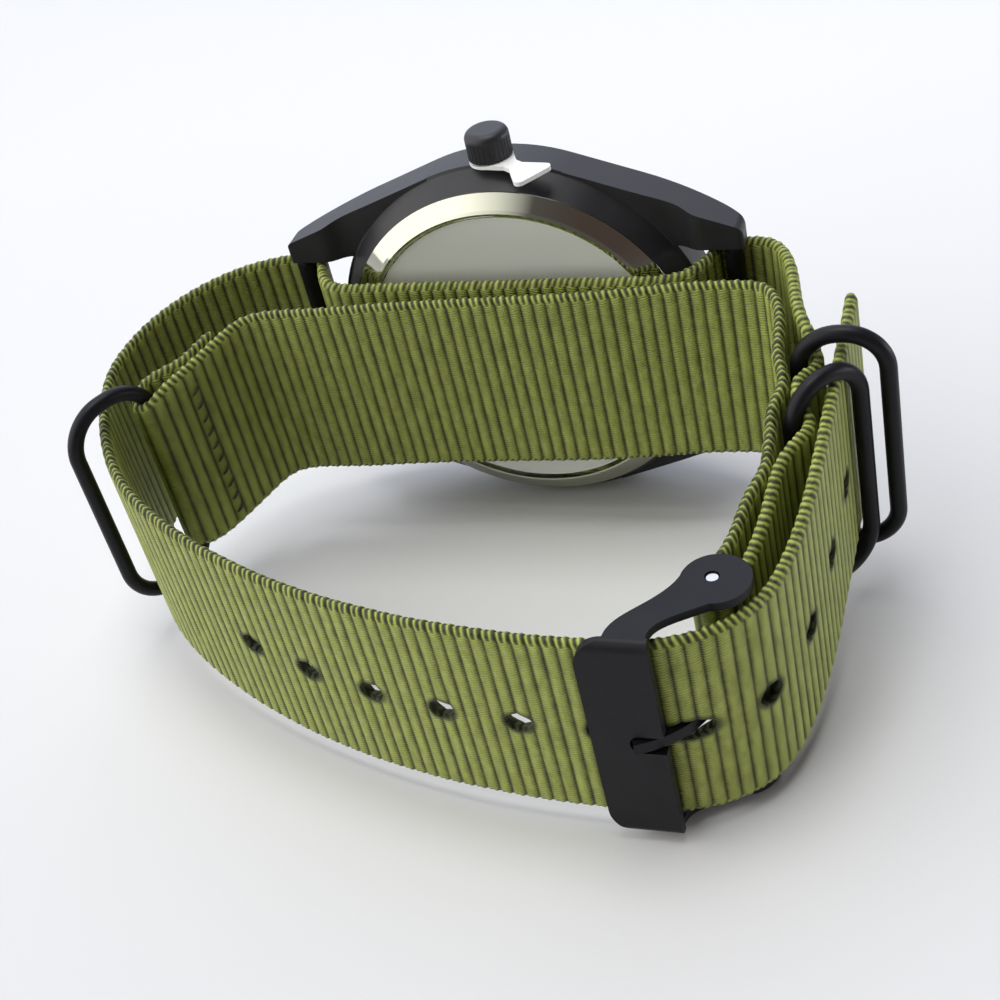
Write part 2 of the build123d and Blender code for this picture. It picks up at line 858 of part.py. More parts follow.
# Stem, clutch wheel, crown tube and crown
stem_spot = spot(0, -stem_depth)
clutch_low = clutch_reach - clutch_length / 2
stem_low = clutch_low - crown_gap
crown_base = case_r + crown_gap
stem_end = crown_base + crown_height / 2
with BuildPart() as clutch_wheel:
    with BuildSketch(plan_plane(clutch_low)):
        with Locations(stem_spot):
            Circle(clutch_r)
            Rectangle(stem_square + slide_gap, stem_square + slide_gap, mode=Mode.SUBTRACT)
    extrude(amount=clutch_length)
save(clutch_wheel.part, "clutch_wheel")

with BuildPart() as stem:
    with BuildSketch(plan_plane(stem_low)):
        with Locations(stem_spot):
            Rectangle(stem_square, stem_square)
    extrude(amount=groove_low - stem_low)
    with BuildSketch(plan_plane(groove_low)):
        with Locations(stem_spot):
            Circle(stem_square / 2)
    extrude(amount=groove_long)
    with BuildSketch(plan_plane(groove_low + groove_long)):
        with Locations(stem_spot):
            Circle(stem_r)
    extrude(amount=stem_end - groove_low - groove_long)
    chamfer(stem.faces().sort_by(Axis.Z)[0].edges(), length=stem_r / 4)
save(stem.part, "stem")

# Setting lever, whose finger sits in the groove of the stem
finger_tip = stem_square / 2 + slide_gap
with BuildPart() as setting_lever:
    with BuildSketch(case_plane(stem_depth - clamp_thick / 2)):
        with BuildLine():
            Polyline(
                (finger_tip, groove_low + 2 * slide_gap),
                (2 * stem_r, groove_low + 2 * slide_gap),
                (lever_reach, groove_low + groove_long / 2 - screw_head_r),
                (lever_reach, groove_low + groove_long / 2 + screw_head_r),
                (2 * stem_r, groove_low + groove_long - 2 * slide_gap),
                (finger_tip, groove_low + groove_long - 2 * slide_gap),
                close=True,
            )
        make_face()
        with Locations(lever_place):
            Circle(screw_head_r)
    extrude(amount=clamp_thick)
    with BuildSketch(case_plane(plate_back - wheel_thick)):
        with Locations(lever_place):
            Circle(screw_r)
    extrude(amount=stem_depth - plate_back + wheel_thick)
save(setting_lever.part, "setting_lever")

with BuildPart() as crown_tube:
    with BuildSketch(plan_plane(stem_top - tube_length)):
        with Locations(stem_spot):
            Circle(tube_r - fit_gap)
            Circle(stem_r + slide_gap, mode=Mode.SUBTRACT)
    extrude(amount=tube_length)
save(crown_tube.part, "crown_tube")

crown_r = crown_dia / 2
with BuildPart() as crown:
    with BuildSketch(plan_plane(crown_base)):
        with Locations(stem_spot):
            Circle(crown_r)
    extrude(amount=crown_height)
    fillet(crown.faces().sort_by(Axis.Z)[-1].edges(), radius=crown_round)
    with BuildSketch(plan_plane(crown_base)):
        with Locations(stem_spot):
            with PolarLocations(crown_r + flute_r / 2, crown_flutes):
                Circle(flute_r)
    extrude(amount=crown_height - crown_round, mode=Mode.SUBTRACT)
    with BuildSketch(plan_plane(crown_base)):
        with Locations(stem_spot):
            Circle(crown_bore_r)
    extrude(amount=stem_end - crown_base - flute_r, mode=Mode.SUBTRACT)
    with BuildSketch(plan_plane(crown_base)):
        with Locations(stem_spot):
            Circle(stem_r)
    extrude(amount=stem_end - crown_base, mode=Mode.SUBTRACT)
save(crown.part, "crown")

# Crown stop tab: a forked wedge under the crown, with a grip that stands out behind the case
tab_away = (cos(radians(tab_turn)), sin(radians(tab_turn)), 0)
tab_across = (sin(radians(tab_turn)), -cos(radians(tab_turn)), 0)
tab_origin = (stem_spot[0], stem_spot[1], case_z + case_r)
tab_plane = Plane(origin=tab_origin, x_dir=tab_away, z_dir=(0, 0, 1))
tab_profile = Plane(origin=tab_origin, x_dir=tab_away, z_dir=tab_across)
prong_half = tab_slot / 2 + tab_prong
wedge_tip = tab_thick - crown_r
grip_near = crown_r + neck_long
grip_far = grip_near + grip_long
with BuildPart() as crown_tab:
    with BuildSketch(tab_plane):
        with BuildLine():
            Polyline(
                (tab_slot / 2, tab_prong / 2 - prong_half),
                (grip_near, -neck_half),
                (grip_near + neck_long, -neck_half),
                (grip_far, -grip_half),
                (grip_far, grip_half),
                (grip_near + neck_long, neck_half),
                (grip_near, neck_half),
                (tab_slot / 2, prong_half - tab_prong / 2),
                close=True,
            )
        make_face()
        fillet(vertices().group_by(Axis.X)[-1], radius=grip_round)
        Circle(prong_half)
        with Locations((wedge_tip / 2, 0)):
            Rectangle(-wedge_tip, tab_slot, mode=Mode.SUBTRACT)
        Circle(tab_slot / 2, mode=Mode.SUBTRACT)
    extrude(amount=tab_thick)
    with BuildSketch(tab_profile):
        with BuildLine():
            Polyline(
                (wedge_tip, fit_gap),
                (wedge_tip, tab_tip),
                (crown_r, tab_thick),
                (grip_far, tab_thick),
                (grip_far, fit_gap),
                close=True,
            )
        make_face()
    extrude(amount=crown_dia, both=True, mode=Mode.INTERSECT)
save(crown_tab.part, "crown_tab")

# Spring bars: a lipped tube, two sprung pins and the springs between them
for side, bar_side in (("left", -bar_x), ("right", bar_x)):
    bar_spot = spot(bar_side, -bar_depth)
    with BuildPart() as bar_tube:
        with BuildSketch(plan_plane(-bar_half)):
            with Locations(bar_spot):
                Circle(bar_tube_r)
        extrude(amount=2 * bar_half)
        with BuildSketch(plan_plane(bar_lip - bar_half)):
            with Locations(bar_spot):
                Circle(bar_bore_r)
        extrude(amount=2 * (bar_half - bar_lip), mode=Mode.SUBTRACT)
        with BuildSketch(plan_plane(-bar_half)):
            with Locations(bar_spot):
                Circle(bar_pin_r + slide_gap)
        extrude(amount=2 * bar_half, mode=Mode.SUBTRACT)
    save(bar_tube.part, f"bar_tube_{side}")
    for end, way in (("low", -1), ("high", 1)):
        with BuildPart() as bar_pin:
            with BuildSketch(plan_plane(way * (bar_half + bar_pin_stand))):
                with Locations(bar_spot):
                    Circle(bar_pin_r)
            extrude(amount=-way * (bar_pin_stand + bar_pin_inside))
            with BuildSketch(plan_plane(way * (bar_half - bar_lip - fit_gap))):
                with Locations(bar_spot):
                    Circle(bar_collar_r)
            extrude(amount=-way * bar_collar)
        save(bar_pin.part, f"bar_pin_{side}_{end}")
        with BuildPart() as bar_spring:
            with BuildSketch(plan_plane(way * (bar_half - bar_lip - bar_collar - 2 * fit_gap))):
                with Locations(bar_spot):
                    Circle(bar_collar_r)
                    Circle(bar_pin_r + slide_gap, mode=Mode.SUBTRACT)
            extrude(amount=-way * (bar_half - bar_lip - bar_collar - 3 * fit_gap))
        save(bar_spring.part, f"bar_spring_{side}_{end}")

# Strap: places of its middle line in plan, as shares of the loop unit
outer_run_shares = [
    (1.73, -0.50),
    (1.715, -0.89),
    (1.69, -1.35),
    (1.62, -1.90),
    (1.515, -2.16),
    (1.245, -2.365),
    (0.90, -2.405),
    (0.42, -2.38),
    (-0.79, -2.07),
    (-1.24, -1.855),
    (-1.62, -1.59),
    (-1.89, -1.19),
    (-1.955, -0.85),
    (-1.82, -0.525),
    (-1.45, -0.14),
]
layer_run_shares = [
    (1.29, -0.05),
    (1.40, -0.19),
    (1.49, -0.52),
    (1.545, -0.66),
    (1.61, -0.86),
    (1.55, -0.99),
    (1.575, -1.08),
    (1.62, -1.17),
    (1.59, -1.29),
    (1.54, -1.40),
    (1.51, -1.63),
]
joint_place_share = (1.472, -1.39)
joint_aim_share = (-0.07, 1)
inner_run_shares = [(1.385, -1.78), (1.425, -1.58)]
flap_run_shares = [
    (1.465, -1.24),
    (1.458, -1.15),
    (1.485, -1.00),
    (1.447, -0.84),
    (1.42, -0.60),
    (1.33, -0.425),
    (1.17, -0.395),
    (0.46, -0.455),
    (-0.32, -0.485),
    (-1.09, -0.53),
    (-1.33, -0.58),
    (-1.42, -0.695),
    (-1.52, -0.86),
]
return_run_shares = [(-1.575, -0.83), (-1.475, -0.665)]
flat_turn_shares = [(-0.93, -0.31), (0.93, -0.31)]
tongue_hole_share = (1.245, -2.365)
pin_place_share = (1.355, -2.08)
ear_share = (1.372, -2.092)
tongue_start_share = (1.33, -2.135)
tongue_tip_share = (1.04, -2.51)
ring_place_share = (-1.715, -1.015)


def loop_spots(shares):
    return [loop_spot(share) for share in shares]


pin_spot = loop_spot(pin_place_share)
fold_ring_spot = loop_spot(ring_place_share)
joint_spot = loop_spot(joint_place_share)
tongue_spot = loop_spot(tongue_hole_share)
left_turn, right_turn = loop_spots(flat_turn_shares)
left_bar = spot(-bar_x, -bar_depth)
right_bar = spot(bar_x, -bar_depth)
flat_y = case_shift - flat_run_depth
flat_run_half = bar_x - flat_run_in


def band_profile():
    """Side view of the strap, level by the case and lower by the buckle."""
    half = strap_width / 2
    return [
        (case_r, half),
        (-drop_start, half),
        (-drop_end, half - drop),
        (-far_out, half - drop),
        (-far_out, -half - drop),
        (-drop_end, -half - drop),
        (-drop_start, -half),
        (case_r, -half),
    ]


def stretch_ribbon(stretch):
    """One stretch of strap, as wide as the strap, standing on this line in plan."""
    with BuildPart() as made:
        with BuildSketch(plan_plane(-case_r)):
            trace(stretch, strap_thick)
        extrude(amount=case_dia)
        with BuildSketch(side_plane):
            with BuildLine():
                Polyline(*band_profile(), close=True)
            make_face()
            bends = vertices().filter_by(lambda corner: -drop_end - fit_gap < corner.X < 0)
            fillet(bends, radius=drop_bend_r)
        extrude(amount=far_out, both=True, mode=Mode.INTERSECT)
    return made.part


def ribbon(line):
    """The strap along a whole line, stretch by stretch."""
    stretches = [stretch_ribbon(stretch) for stretch in line.edges()]
    with BuildPart() as made:
        add(stretches)
    return made.part


# Angles where the strap meets and leaves the bars, the buckle pin and the fold ring
bar_meet = 152
bar_leave = 85
pin_meet = -10
pin_leave = -199
fold_meet = -40
fold_leave = -235


def heading(angle):
    """Direction of travel of a line that runs clockwise at this angle of a circle."""
    return (sin(radians(angle)), -cos(radians(angle)))


def smooth(first, last, *spots):
    """A smooth curve through these places with a set direction at each end."""
    return Spline(*spots, tangents=[first, last], tangent_scalars=[1, 1])


with BuildLine() as main_line:
    left_arc = CenterArc(left_bar, strap_over_bar_r, 180 - bar_leave, bar_leave - bar_meet)
    outer_run = smooth((0, -1), heading(180 - bar_leave), *loop_spots(outer_run_shares), left_arc @ 0)
    smooth(heading(180 - bar_meet), (1, 0), left_arc @ 1, left_turn, (-flat_run_half, flat_y))
    Line((-flat_run_half, flat_y), (flat_run_half, flat_y))
    right_arc = CenterArc(right_bar, strap_over_bar_r, bar_meet, bar_leave - bar_meet)
    smooth((1, 0), heading(bar_meet), (flat_run_half, flat_y), right_turn, right_arc @ 0)
    pin_arc = CenterArc(pin_spot, fold_r, pin_meet, pin_leave - pin_meet)
    smooth(heading(bar_leave), heading(pin_meet), right_arc @ 1, *loop_spots(layer_run_shares), pin_arc @ 0)
    smooth(heading(pin_leave), joint_aim_share, pin_arc @ 1, *loop_spots(inner_run_shares), joint_spot)

with BuildLine() as flap_line:
    fold_arc = CenterArc(fold_ring_spot, fold_r, fold_meet, fold_leave - fold_meet)
    smooth(joint_aim_share, heading(fold_meet), joint_spot, *loop_spots(flap_run_shares), fold_arc @ 0)
    smooth(heading(fold_leave), (1, 1), fold_arc @ 1, *loop_spots(return_run_shares))

tongue_run = outer_run.param_at_point(tongue_spot) * outer_run.length

fold_ring_angle = -118.5
upper_ring_angle = 1.5
lower_ring_angle = 49.5
upper_ring_share = (1.53, -0.83)
lower_ring_share = (1.545, -1.17)
ring_level_share = 0.3
upper_ring_spot = loop_spot(upper_ring_share)
lower_ring_spot = loop_spot(lower_ring_share)


def ring(inner, outer_reach, gap, corner_r, angle, wire_r):
    """A bent wire ring. Its inner bar stands at the first place and it reaches out from there."""
    half = strap_width / 2 + gap + ring_wire_r
    away = (cos(radians(angle)), sin(radians(angle)), 0)
    across = (sin(radians(angle)), -cos(radians(angle)), 0)
    middle = middle_height(inner[1] + ring_level_share * outer_reach * away[1] - case_shift)
    ring_plane = Plane(origin=(inner[0], inner[1], case_z + middle), x_dir=away, z_dir=across)
    with BuildPart() as made:
        with BuildLine(ring_plane):
            FilletPolyline((0, 0), (0, half), (outer_reach, half), (outer_reach, 0), radius=corner_r)
        with BuildSketch(Plane(origin=(inner[0], inner[1], case_z + middle))):
            Circle(wire_r)
        sweep()
        mirror(about=Plane.XY.offset(case_z + middle))
    return made.part


def flap_ring(wire_r):
    return ring(fold_ring_spot, fold_ring_reach, fold_ring_gap, fold_ring_corner_r,
                fold_ring_angle, wire_r)


def upper_ring(wire_r):
    return ring(upper_ring_spot, upper_ring_reach, upper_ring_gap, keeper_corner_r,
                upper_ring_angle, wire_r)


def lower_ring(wire_r):
    return ring(lower_ring_spot, lower_ring_reach, lower_ring_gap, keeper_corner_r,
                lower_ring_angle, wire_r)


save(flap_ring(ring_wire_r), "flap_ring")
save(upper_ring(ring_wire_r), "upper_ring")
save(lower_ring(ring_wire_r), "lower_ring")

# The webbing gathers where the rounded corners of the rings pass its edges
ring_rooms = [flap_ring(ring_wire_r + ring_room), upper_ring(ring_wire_r + ring_room),
              lower_ring(ring_wire_r + ring_room)]

# Main length of the strap, with its heat-cut holes and the slot for the tongue at the fold
main_ribbon = ribbon(main_line.line)
with BuildPart() as strap_main:
    add(main_ribbon)
    for number in range(-holes_on_tail, holes_in_front + 1):
        along = tongue_run + number * hole_pitch
        place = outer_run.position_at(along, position_mode=PositionMode.LENGTH)
        aim = outer_run.tangent_at(along, position_mode=PositionMode.LENGTH)
        height = case_z + middle_height(place.Y - case_shift)
        with BuildSketch(Plane((place.X, place.Y, height), x_dir=aim, z_dir=aim.cross(Vector(0, 0, 1)))):
            SlotOverall(tongue_hole_long if number == 0 else hole_long, hole_high)
        extrude(amount=strap_thick, both=True, mode=Mode.SUBTRACT)
    with BuildSketch(plan_plane(middle_height(pin_spot[1] - case_shift) - fold_slot / 2)):
        with Locations(pin_spot):
            Circle(fold_r + strap_thick / 2 + slide_gap)
    extrude(amount=fold_slot, mode=Mode.SUBTRACT)
    add(ring_rooms, mode=Mode.SUBTRACT)
save(strap_main.part, "strap_main")

# Flap behind the case, sewn to the main length and folded round its own ring
flap_ribbon = ribbon(flap_line.line)
with BuildPart() as strap_flap:
    add(flap_ribbon)
    add(ring_rooms, mode=Mode.SUBTRACT)
save(strap_flap.part, "strap_flap")

# Buckle: a plate bent back into two ears, the pin between the ears and the tongue on the pin
buckle_middle = middle_height(-plate_out) + buckle_lift
ear_centre = loop_spot(ear_share)
plate_near = bar_x - plate_in
plate_far = bar_x + plate_past
buckle_top = buckle_middle + buckle_height / 2
plate_back_y = case_shift - plate_out
plate_centre = ((plate_near + plate_far) / 2, plate_back_y, case_z + buckle_middle)
near_side_shares = [(1.225, -2.085), (1.175, -2.18), (1.095, -2.27), (1.015, -2.36)]
far_side_shares = [(1.47, -2.18), (1.38, -2.235), (1.28, -2.297), (1.19, -2.365)]
plate_front_y = plate_back_y - buckle_plate
with BuildPart() as buckle_frame:
    with BuildSketch(Plane(plate_centre, x_dir=(1, 0, 0), z_dir=(0, -1, 0))):
        Rectangle(plate_far - plate_near, buckle_height)
        fillet(vertices().group_by(Axis.X)[0], radius=buckle_corner_r)
        with Locations(((plate_far - plate_near) / 2, 0)):
            SlotCenterToCenter(2 * notch_in, notch_wide, mode=Mode.SUBTRACT)
    extrude(amount=buckle_plate)
    for level in (buckle_top - ear_thick, buckle_middle - buckle_height / 2):
        with BuildSketch(plan_plane(level)):
            with Locations(ear_centre):
                Circle(ear_r)
            with BuildLine():
                near_side = Spline(*loop_spots(near_side_shares), (plate_near + buckle_corner_r, plate_front_y))
                far_side = Spline(*loop_spots(far_side_shares), (plate_far, plate_front_y))
                Line(near_side @ 1, far_side @ 1)
                Line(near_side @ 0, far_side @ 0)
            make_face()
            with Locations(pin_spot):
                Circle(pin_tip_r + pin_tip_gap, mode=Mode.SUBTRACT)
        extrude(amount=ear_thick)
    front_edges = edges().filter_by(Axis.X).group_by(Axis.Y)[0].sort_by(Axis.Z)
    fillet([front_edges[0], front_edges[-1]], radius=buckle_bend_r)
save(buckle_frame.part, "buckle_frame")

# The pin stands on the inner faces of the ears and its thin tips end just inside their holes
pin_length = buckle_height - 2 * ear_thick
with BuildPart() as buckle_pin:
    for radius, length in ((pin_r, pin_length), (pin_tip_r, buckle_height - 2 * pin_tip_in)):
        with BuildSketch(plan_plane(buckle_middle - length / 2)):
            with Locations(pin_spot):
                Circle(radius)
        extrude(amount=length)
save(buckle_pin.part, "buckle_pin")

tongue_tip = loop_spot(tongue_tip_share)
tongue_start = loop_spot(tongue_start_share)
tongue_middle = buckle_middle
with BuildPart() as buckle_tongue:
    with BuildSketch(plan_plane(tongue_middle - tongue_high / 2)):
        with BuildLine() as tongue_line:
            Spline(tongue_start, tongue_spot, tongue_tip)
        trace(tongue_line.line, tongue_thick)
        with Locations(pin_spot):
            Circle(tongue_eye_r)
            Circle(pin_r + tongue_gap, mode=Mode.SUBTRACT)
    extrude(amount=tongue_high)
save(buckle_tongue.part, "buckle_tongue")
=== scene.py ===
import json
import math
import bpy
import numpy as np
from mathutils import Matrix, Vector


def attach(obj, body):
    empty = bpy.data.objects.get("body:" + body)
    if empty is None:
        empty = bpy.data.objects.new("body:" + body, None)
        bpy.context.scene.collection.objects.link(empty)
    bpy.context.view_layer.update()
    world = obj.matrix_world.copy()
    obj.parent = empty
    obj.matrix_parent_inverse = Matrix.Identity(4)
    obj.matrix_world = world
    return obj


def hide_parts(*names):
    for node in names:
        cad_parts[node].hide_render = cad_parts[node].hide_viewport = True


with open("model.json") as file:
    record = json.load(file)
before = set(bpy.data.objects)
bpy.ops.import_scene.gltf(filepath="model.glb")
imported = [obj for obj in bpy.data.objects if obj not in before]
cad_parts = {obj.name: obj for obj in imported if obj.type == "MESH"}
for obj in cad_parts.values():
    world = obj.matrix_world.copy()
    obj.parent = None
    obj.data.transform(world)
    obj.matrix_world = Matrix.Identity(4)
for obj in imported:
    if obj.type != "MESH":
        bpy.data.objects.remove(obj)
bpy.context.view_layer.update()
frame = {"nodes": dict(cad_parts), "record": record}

MM = 0.001
CASE_Y = 22.84  # the middle of the case in the row frame, in millimetres
CASE_Z = 20.0
TURN = 2 * math.pi


def place(x, y, z):
    """A place counted from the middle of the case, in millimetres, as metres in the row frame."""
    return (x * MM, (y + CASE_Y) * MM, (z + CASE_Z) * MM)


# ---------- materials ----------

def new_material(name):
    mat = bpy.data.materials.new(name)
    mat.use_nodes = True
    tree = mat.node_tree
    shader = tree.nodes["Principled BSDF"]
    return mat, tree, shader


def node(tree, kind, **values):
    made = tree.nodes.new(kind)
    for key, value in values.items():
        setattr(made, key, value)
    return made


def math_node(tree, operation, first, second=None, third=None):
    made = node(tree, "ShaderNodeMath", operation=operation)
    for index, value in enumerate((first, second, third)):
        if value is None:
            continue
        if hasattr(value, "is_linked"):
            tree.links.new(value, made.inputs[index])
        else:
            made.inputs[index].default_value = value
    return made.outputs[0]


def ramp(tree, factor, stops):
    made = node(tree, "ShaderNodeValToRGB")
    made.color_ramp.elements[0].position = stops[0][0]
    made.color_ramp.elements[0].color = (*stops[0][1], 1)
    made.color_ramp.elements[1].position = stops[-1][0]
    made.color_ramp.elements[1].color = (*stops[-1][1], 1)
    for position, colour in stops[1:-1]:
        element = made.color_ramp.elements.new(position)
        element.color = (*colour, 1)
    tree.links.new(factor, made.inputs[0])
    return made.outputs[0]


def noise(tree, scale, detail=3.0, stretch=None, rough=0.5):
    coords = node(tree, "ShaderNodeTexCoord")
    source = coords.outputs["Object"]
    if stretch:
        mapping = node(tree, "ShaderNodeMapping")
        mapping.inputs["Scale"].default_value = stretch
        tree.links.new(source, mapping.inputs[0])
        source = mapping.outputs[0]
    made = node(tree, "ShaderNodeTexNoise")
    made.inputs["Scale"].default_value = scale
    made.inputs["Detail"].default_value = detail
    made.inputs["Roughness"].default_value = rough
    tree.links.new(source, made.inputs["Vector"])
    return made.outputs["Fac"]


def bump(tree, shader, height, strength, distance, base=None):
    made = node(tree, "ShaderNodeBump")
    made.inputs["Strength"].default_value = strength
    made.inputs["Distance"].default_value = distance
    tree.links.new(height, made.inputs["Height"])
    if base is not None:
        tree.links.new(base, made.inputs["Normal"])
    tree.links.new(made.outputs[0], shader.inputs["Normal"])
    return made.outputs[0]


def metal_or_paint(name, dark, light, rough_low, rough_high, metallic=0.0, grain=6000.0,
                   grain_strength=0.05, specular=0.5):
    """A surface with soft mottling in colour and roughness and a fine grain."""
    mat, tree, shader = new_material(name)
    blotch = noise(tree, 350.0, 4.0)
    tree.links.new(ramp(tree, blotch, [(0.3, dark), (0.7, light)]), shader.inputs["Base Color"])
    fine = noise(tree, grain, 2.0)
    rough = math_node(tree, "MULTIPLY_ADD", blotch, rough_high - rough_low, rough_low)
    tree.links.new(rough, shader.inputs["Roughness"])
    shader.inputs["Metallic"].default_value = metallic
    shader.inputs["Specular IOR Level"].default_value = specular
    bump(tree, shader, fine, grain_strength, 0.00002)
    return mat


black_case = metal_or_paint("black_case", (0.010, 0.010, 0.012), (0.016, 0.016, 0.019), 0.38, 0.52,
                            grain=9000.0, grain_strength=0.12, specular=0.40)
black_hardware = metal_or_paint("black_hardware", (0.004, 0.004, 0.006), (0.008, 0.008, 0.010), 0.34, 0.48,
                                grain=9000.0, grain_strength=0.16, specular=0.19)
white_plastic = metal_or_paint("white_plastic", (0.78, 0.78, 0.76), 
                               (0.86, 0.86, 0.84), 0.35, 0.5, grain=4000.0)
rubber = metal_or_paint("seal", (0.015, 0.015, 0.015), (0.03, 0.03, 0.03), 0.6, 0.8, grain=5000.0)
steel = metal_or_paint("steel", (0.48, 0.48, 0.47), 
                       (0.62, 0.62, 0.60), 0.18, 0.32, metallic=1.0, grain=7000.0)
brass = metal_or_paint("brass", (0.62, 0.45, 0.18), 
                       (0.78, 0.60, 0.28), 0.2, 0.35, metallic=1.0, grain=7000.0)
copper = metal_or_paint("copper_wire", (0.55, 0.20, 0.08), 
                        (0.72, 0.30, 0.12), 0.25, 0.4, metallic=1.0, grain=7000.0)
board = metal_or_paint("board", (0.01, 0.10, 0.03), (0.02, 0.16, 0.05), 0.3, 0.45, grain=5000.0)
hands = metal_or_paint("pale_hands", (0.72, 0.74, 0.60), 
                       (0.82, 0.84, 0.70), 0.3, 0.45, grain=4000.0)


def turned_radius(tree):
    """Distance from the middle of the case, seen along the line through dial and back."""
    coords = node(tree, "ShaderNodeTexCoord")
    split = node(tree, "ShaderNodeSeparateXYZ")
    tree.links.new(coords.outputs["Object"], split.inputs[0])
    up = math_node(tree, "SUBTRACT", split.outputs["Z"], CASE_Z * MM)
    squares = math_node(tree, "ADD", math_node(tree, "POWER", split.outputs["X"], 2.0),
                        math_node(tree, "POWER", up, 2.0))
    return math_node(tree, "SQRT", squares), math_node(tree, "ARCTAN2", up, split.outputs["X"])


CENTRE_RADIUS = 15.8 * MM
TURNED_LINE = 0.12 * MM


def back_material():
    """Polished ring around a matt flat centre, with a fine turned line between."""
    mat, tree, shader = new_material("polished_steel")
    radius, _ = turned_radius(tree)
    centre = math_node(tree, "LESS_THAN", radius, CENTRE_RADIUS)
    line = math_node(tree, "COMPARE", radius, CENTRE_RADIUS + 0.1 * MM, TURNED_LINE)
    cloud = noise(tree, 260.0, 4.0, rough=0.6)
    rough = math_node(tree, "MULTIPLY_ADD", centre, 0.34, math_node(tree, "MULTIPLY_ADD", cloud, 0.05, 0.035))
    tree.links.new(rough, shader.inputs["Roughness"])
    mix = node(tree, "ShaderNodeMix", data_type="RGBA")
    tree.links.new(math_node(tree, "MAXIMUM", centre, line), mix.inputs["Factor"])
    mix.inputs["A"].default_value = (0.52, 0.52, 0.43, 1)
    mix.inputs["B"].default_value = (0.78, 0.79, 0.76, 1)
    tree.links.new(mix.outputs["Result"], shader.inputs["Base Color"])
    tree.links.new(math_node(tree, "MULTIPLY_ADD", centre, -0.75, 1.0), shader.inputs["Metallic"])
    inside = math_node(tree, "MINIMUM", radius, CENTRE_RADIUS)
    dish = math_node(tree, "MULTIPLY", math_node(tree, "POWER", inside, 2.0), 2.3)
    first = bump(tree, shader, dish, 1.0, 1.0)
    bump(tree, shader, noise(tree, 5200.0, 3.0), 0.02, 0.00001, first)
    return mat


MARKS_INNER = 12.8 * MM
MARKS_OUTER = 13.8 * MM
MARK_COUNT = 60.0


def dial_material():
    """Matt black dial with a ring of pale minute marks."""
    mat, tree, shader = new_material("black_dial")
    radius, angle = turned_radius(tree)
    ring = math_node(tree, "MULTIPLY", math_node(tree, "GREATER_THAN", radius, MARKS_INNER),
                     math_node(tree, "LESS_THAN", radius, MARKS_OUTER))
    wave = math_node(tree, "COSINE", math_node(tree, "MULTIPLY", angle, MARK_COUNT))
    mark = math_node(tree, "MULTIPLY", ring, math_node(tree, "GREATER_THAN", wave, 0.9))
    tree.links.new(ramp(tree, mark, [(0.4, (0.012, 0.012, 0.012)), (0.6, (0.75, 0.76, 0.66))]),
                   shader.inputs["Base Color"])
    shader.inputs["Roughness"].default_value = 0.6
    bump(tree, shader, noise(tree, 9000.0), 0.1, 0.00001)
    return mat


def crystal_material():
    mat, tree, shader = new_material("crystal")
    shader.inputs["Base Color"].default_value = (0.97, 0.99, 0.99, 1)
    shader.inputs["Roughness"].default_value = 0.02
    shader.inputs["IOR"].default_value = 1.5
    shader.inputs["Transmission Weight"].default_value = 1.0
    bump(tree, shader, noise(tree, 120.0, 1.0), 0.01, 0.00001)
    return mat


RIB = 1.27  # one cord of the webbing along the strap, in millimetres
YARN = 0.27  # one twist of a cord's yarn
KNOT = RIB / 2  # one knot of the braided edge


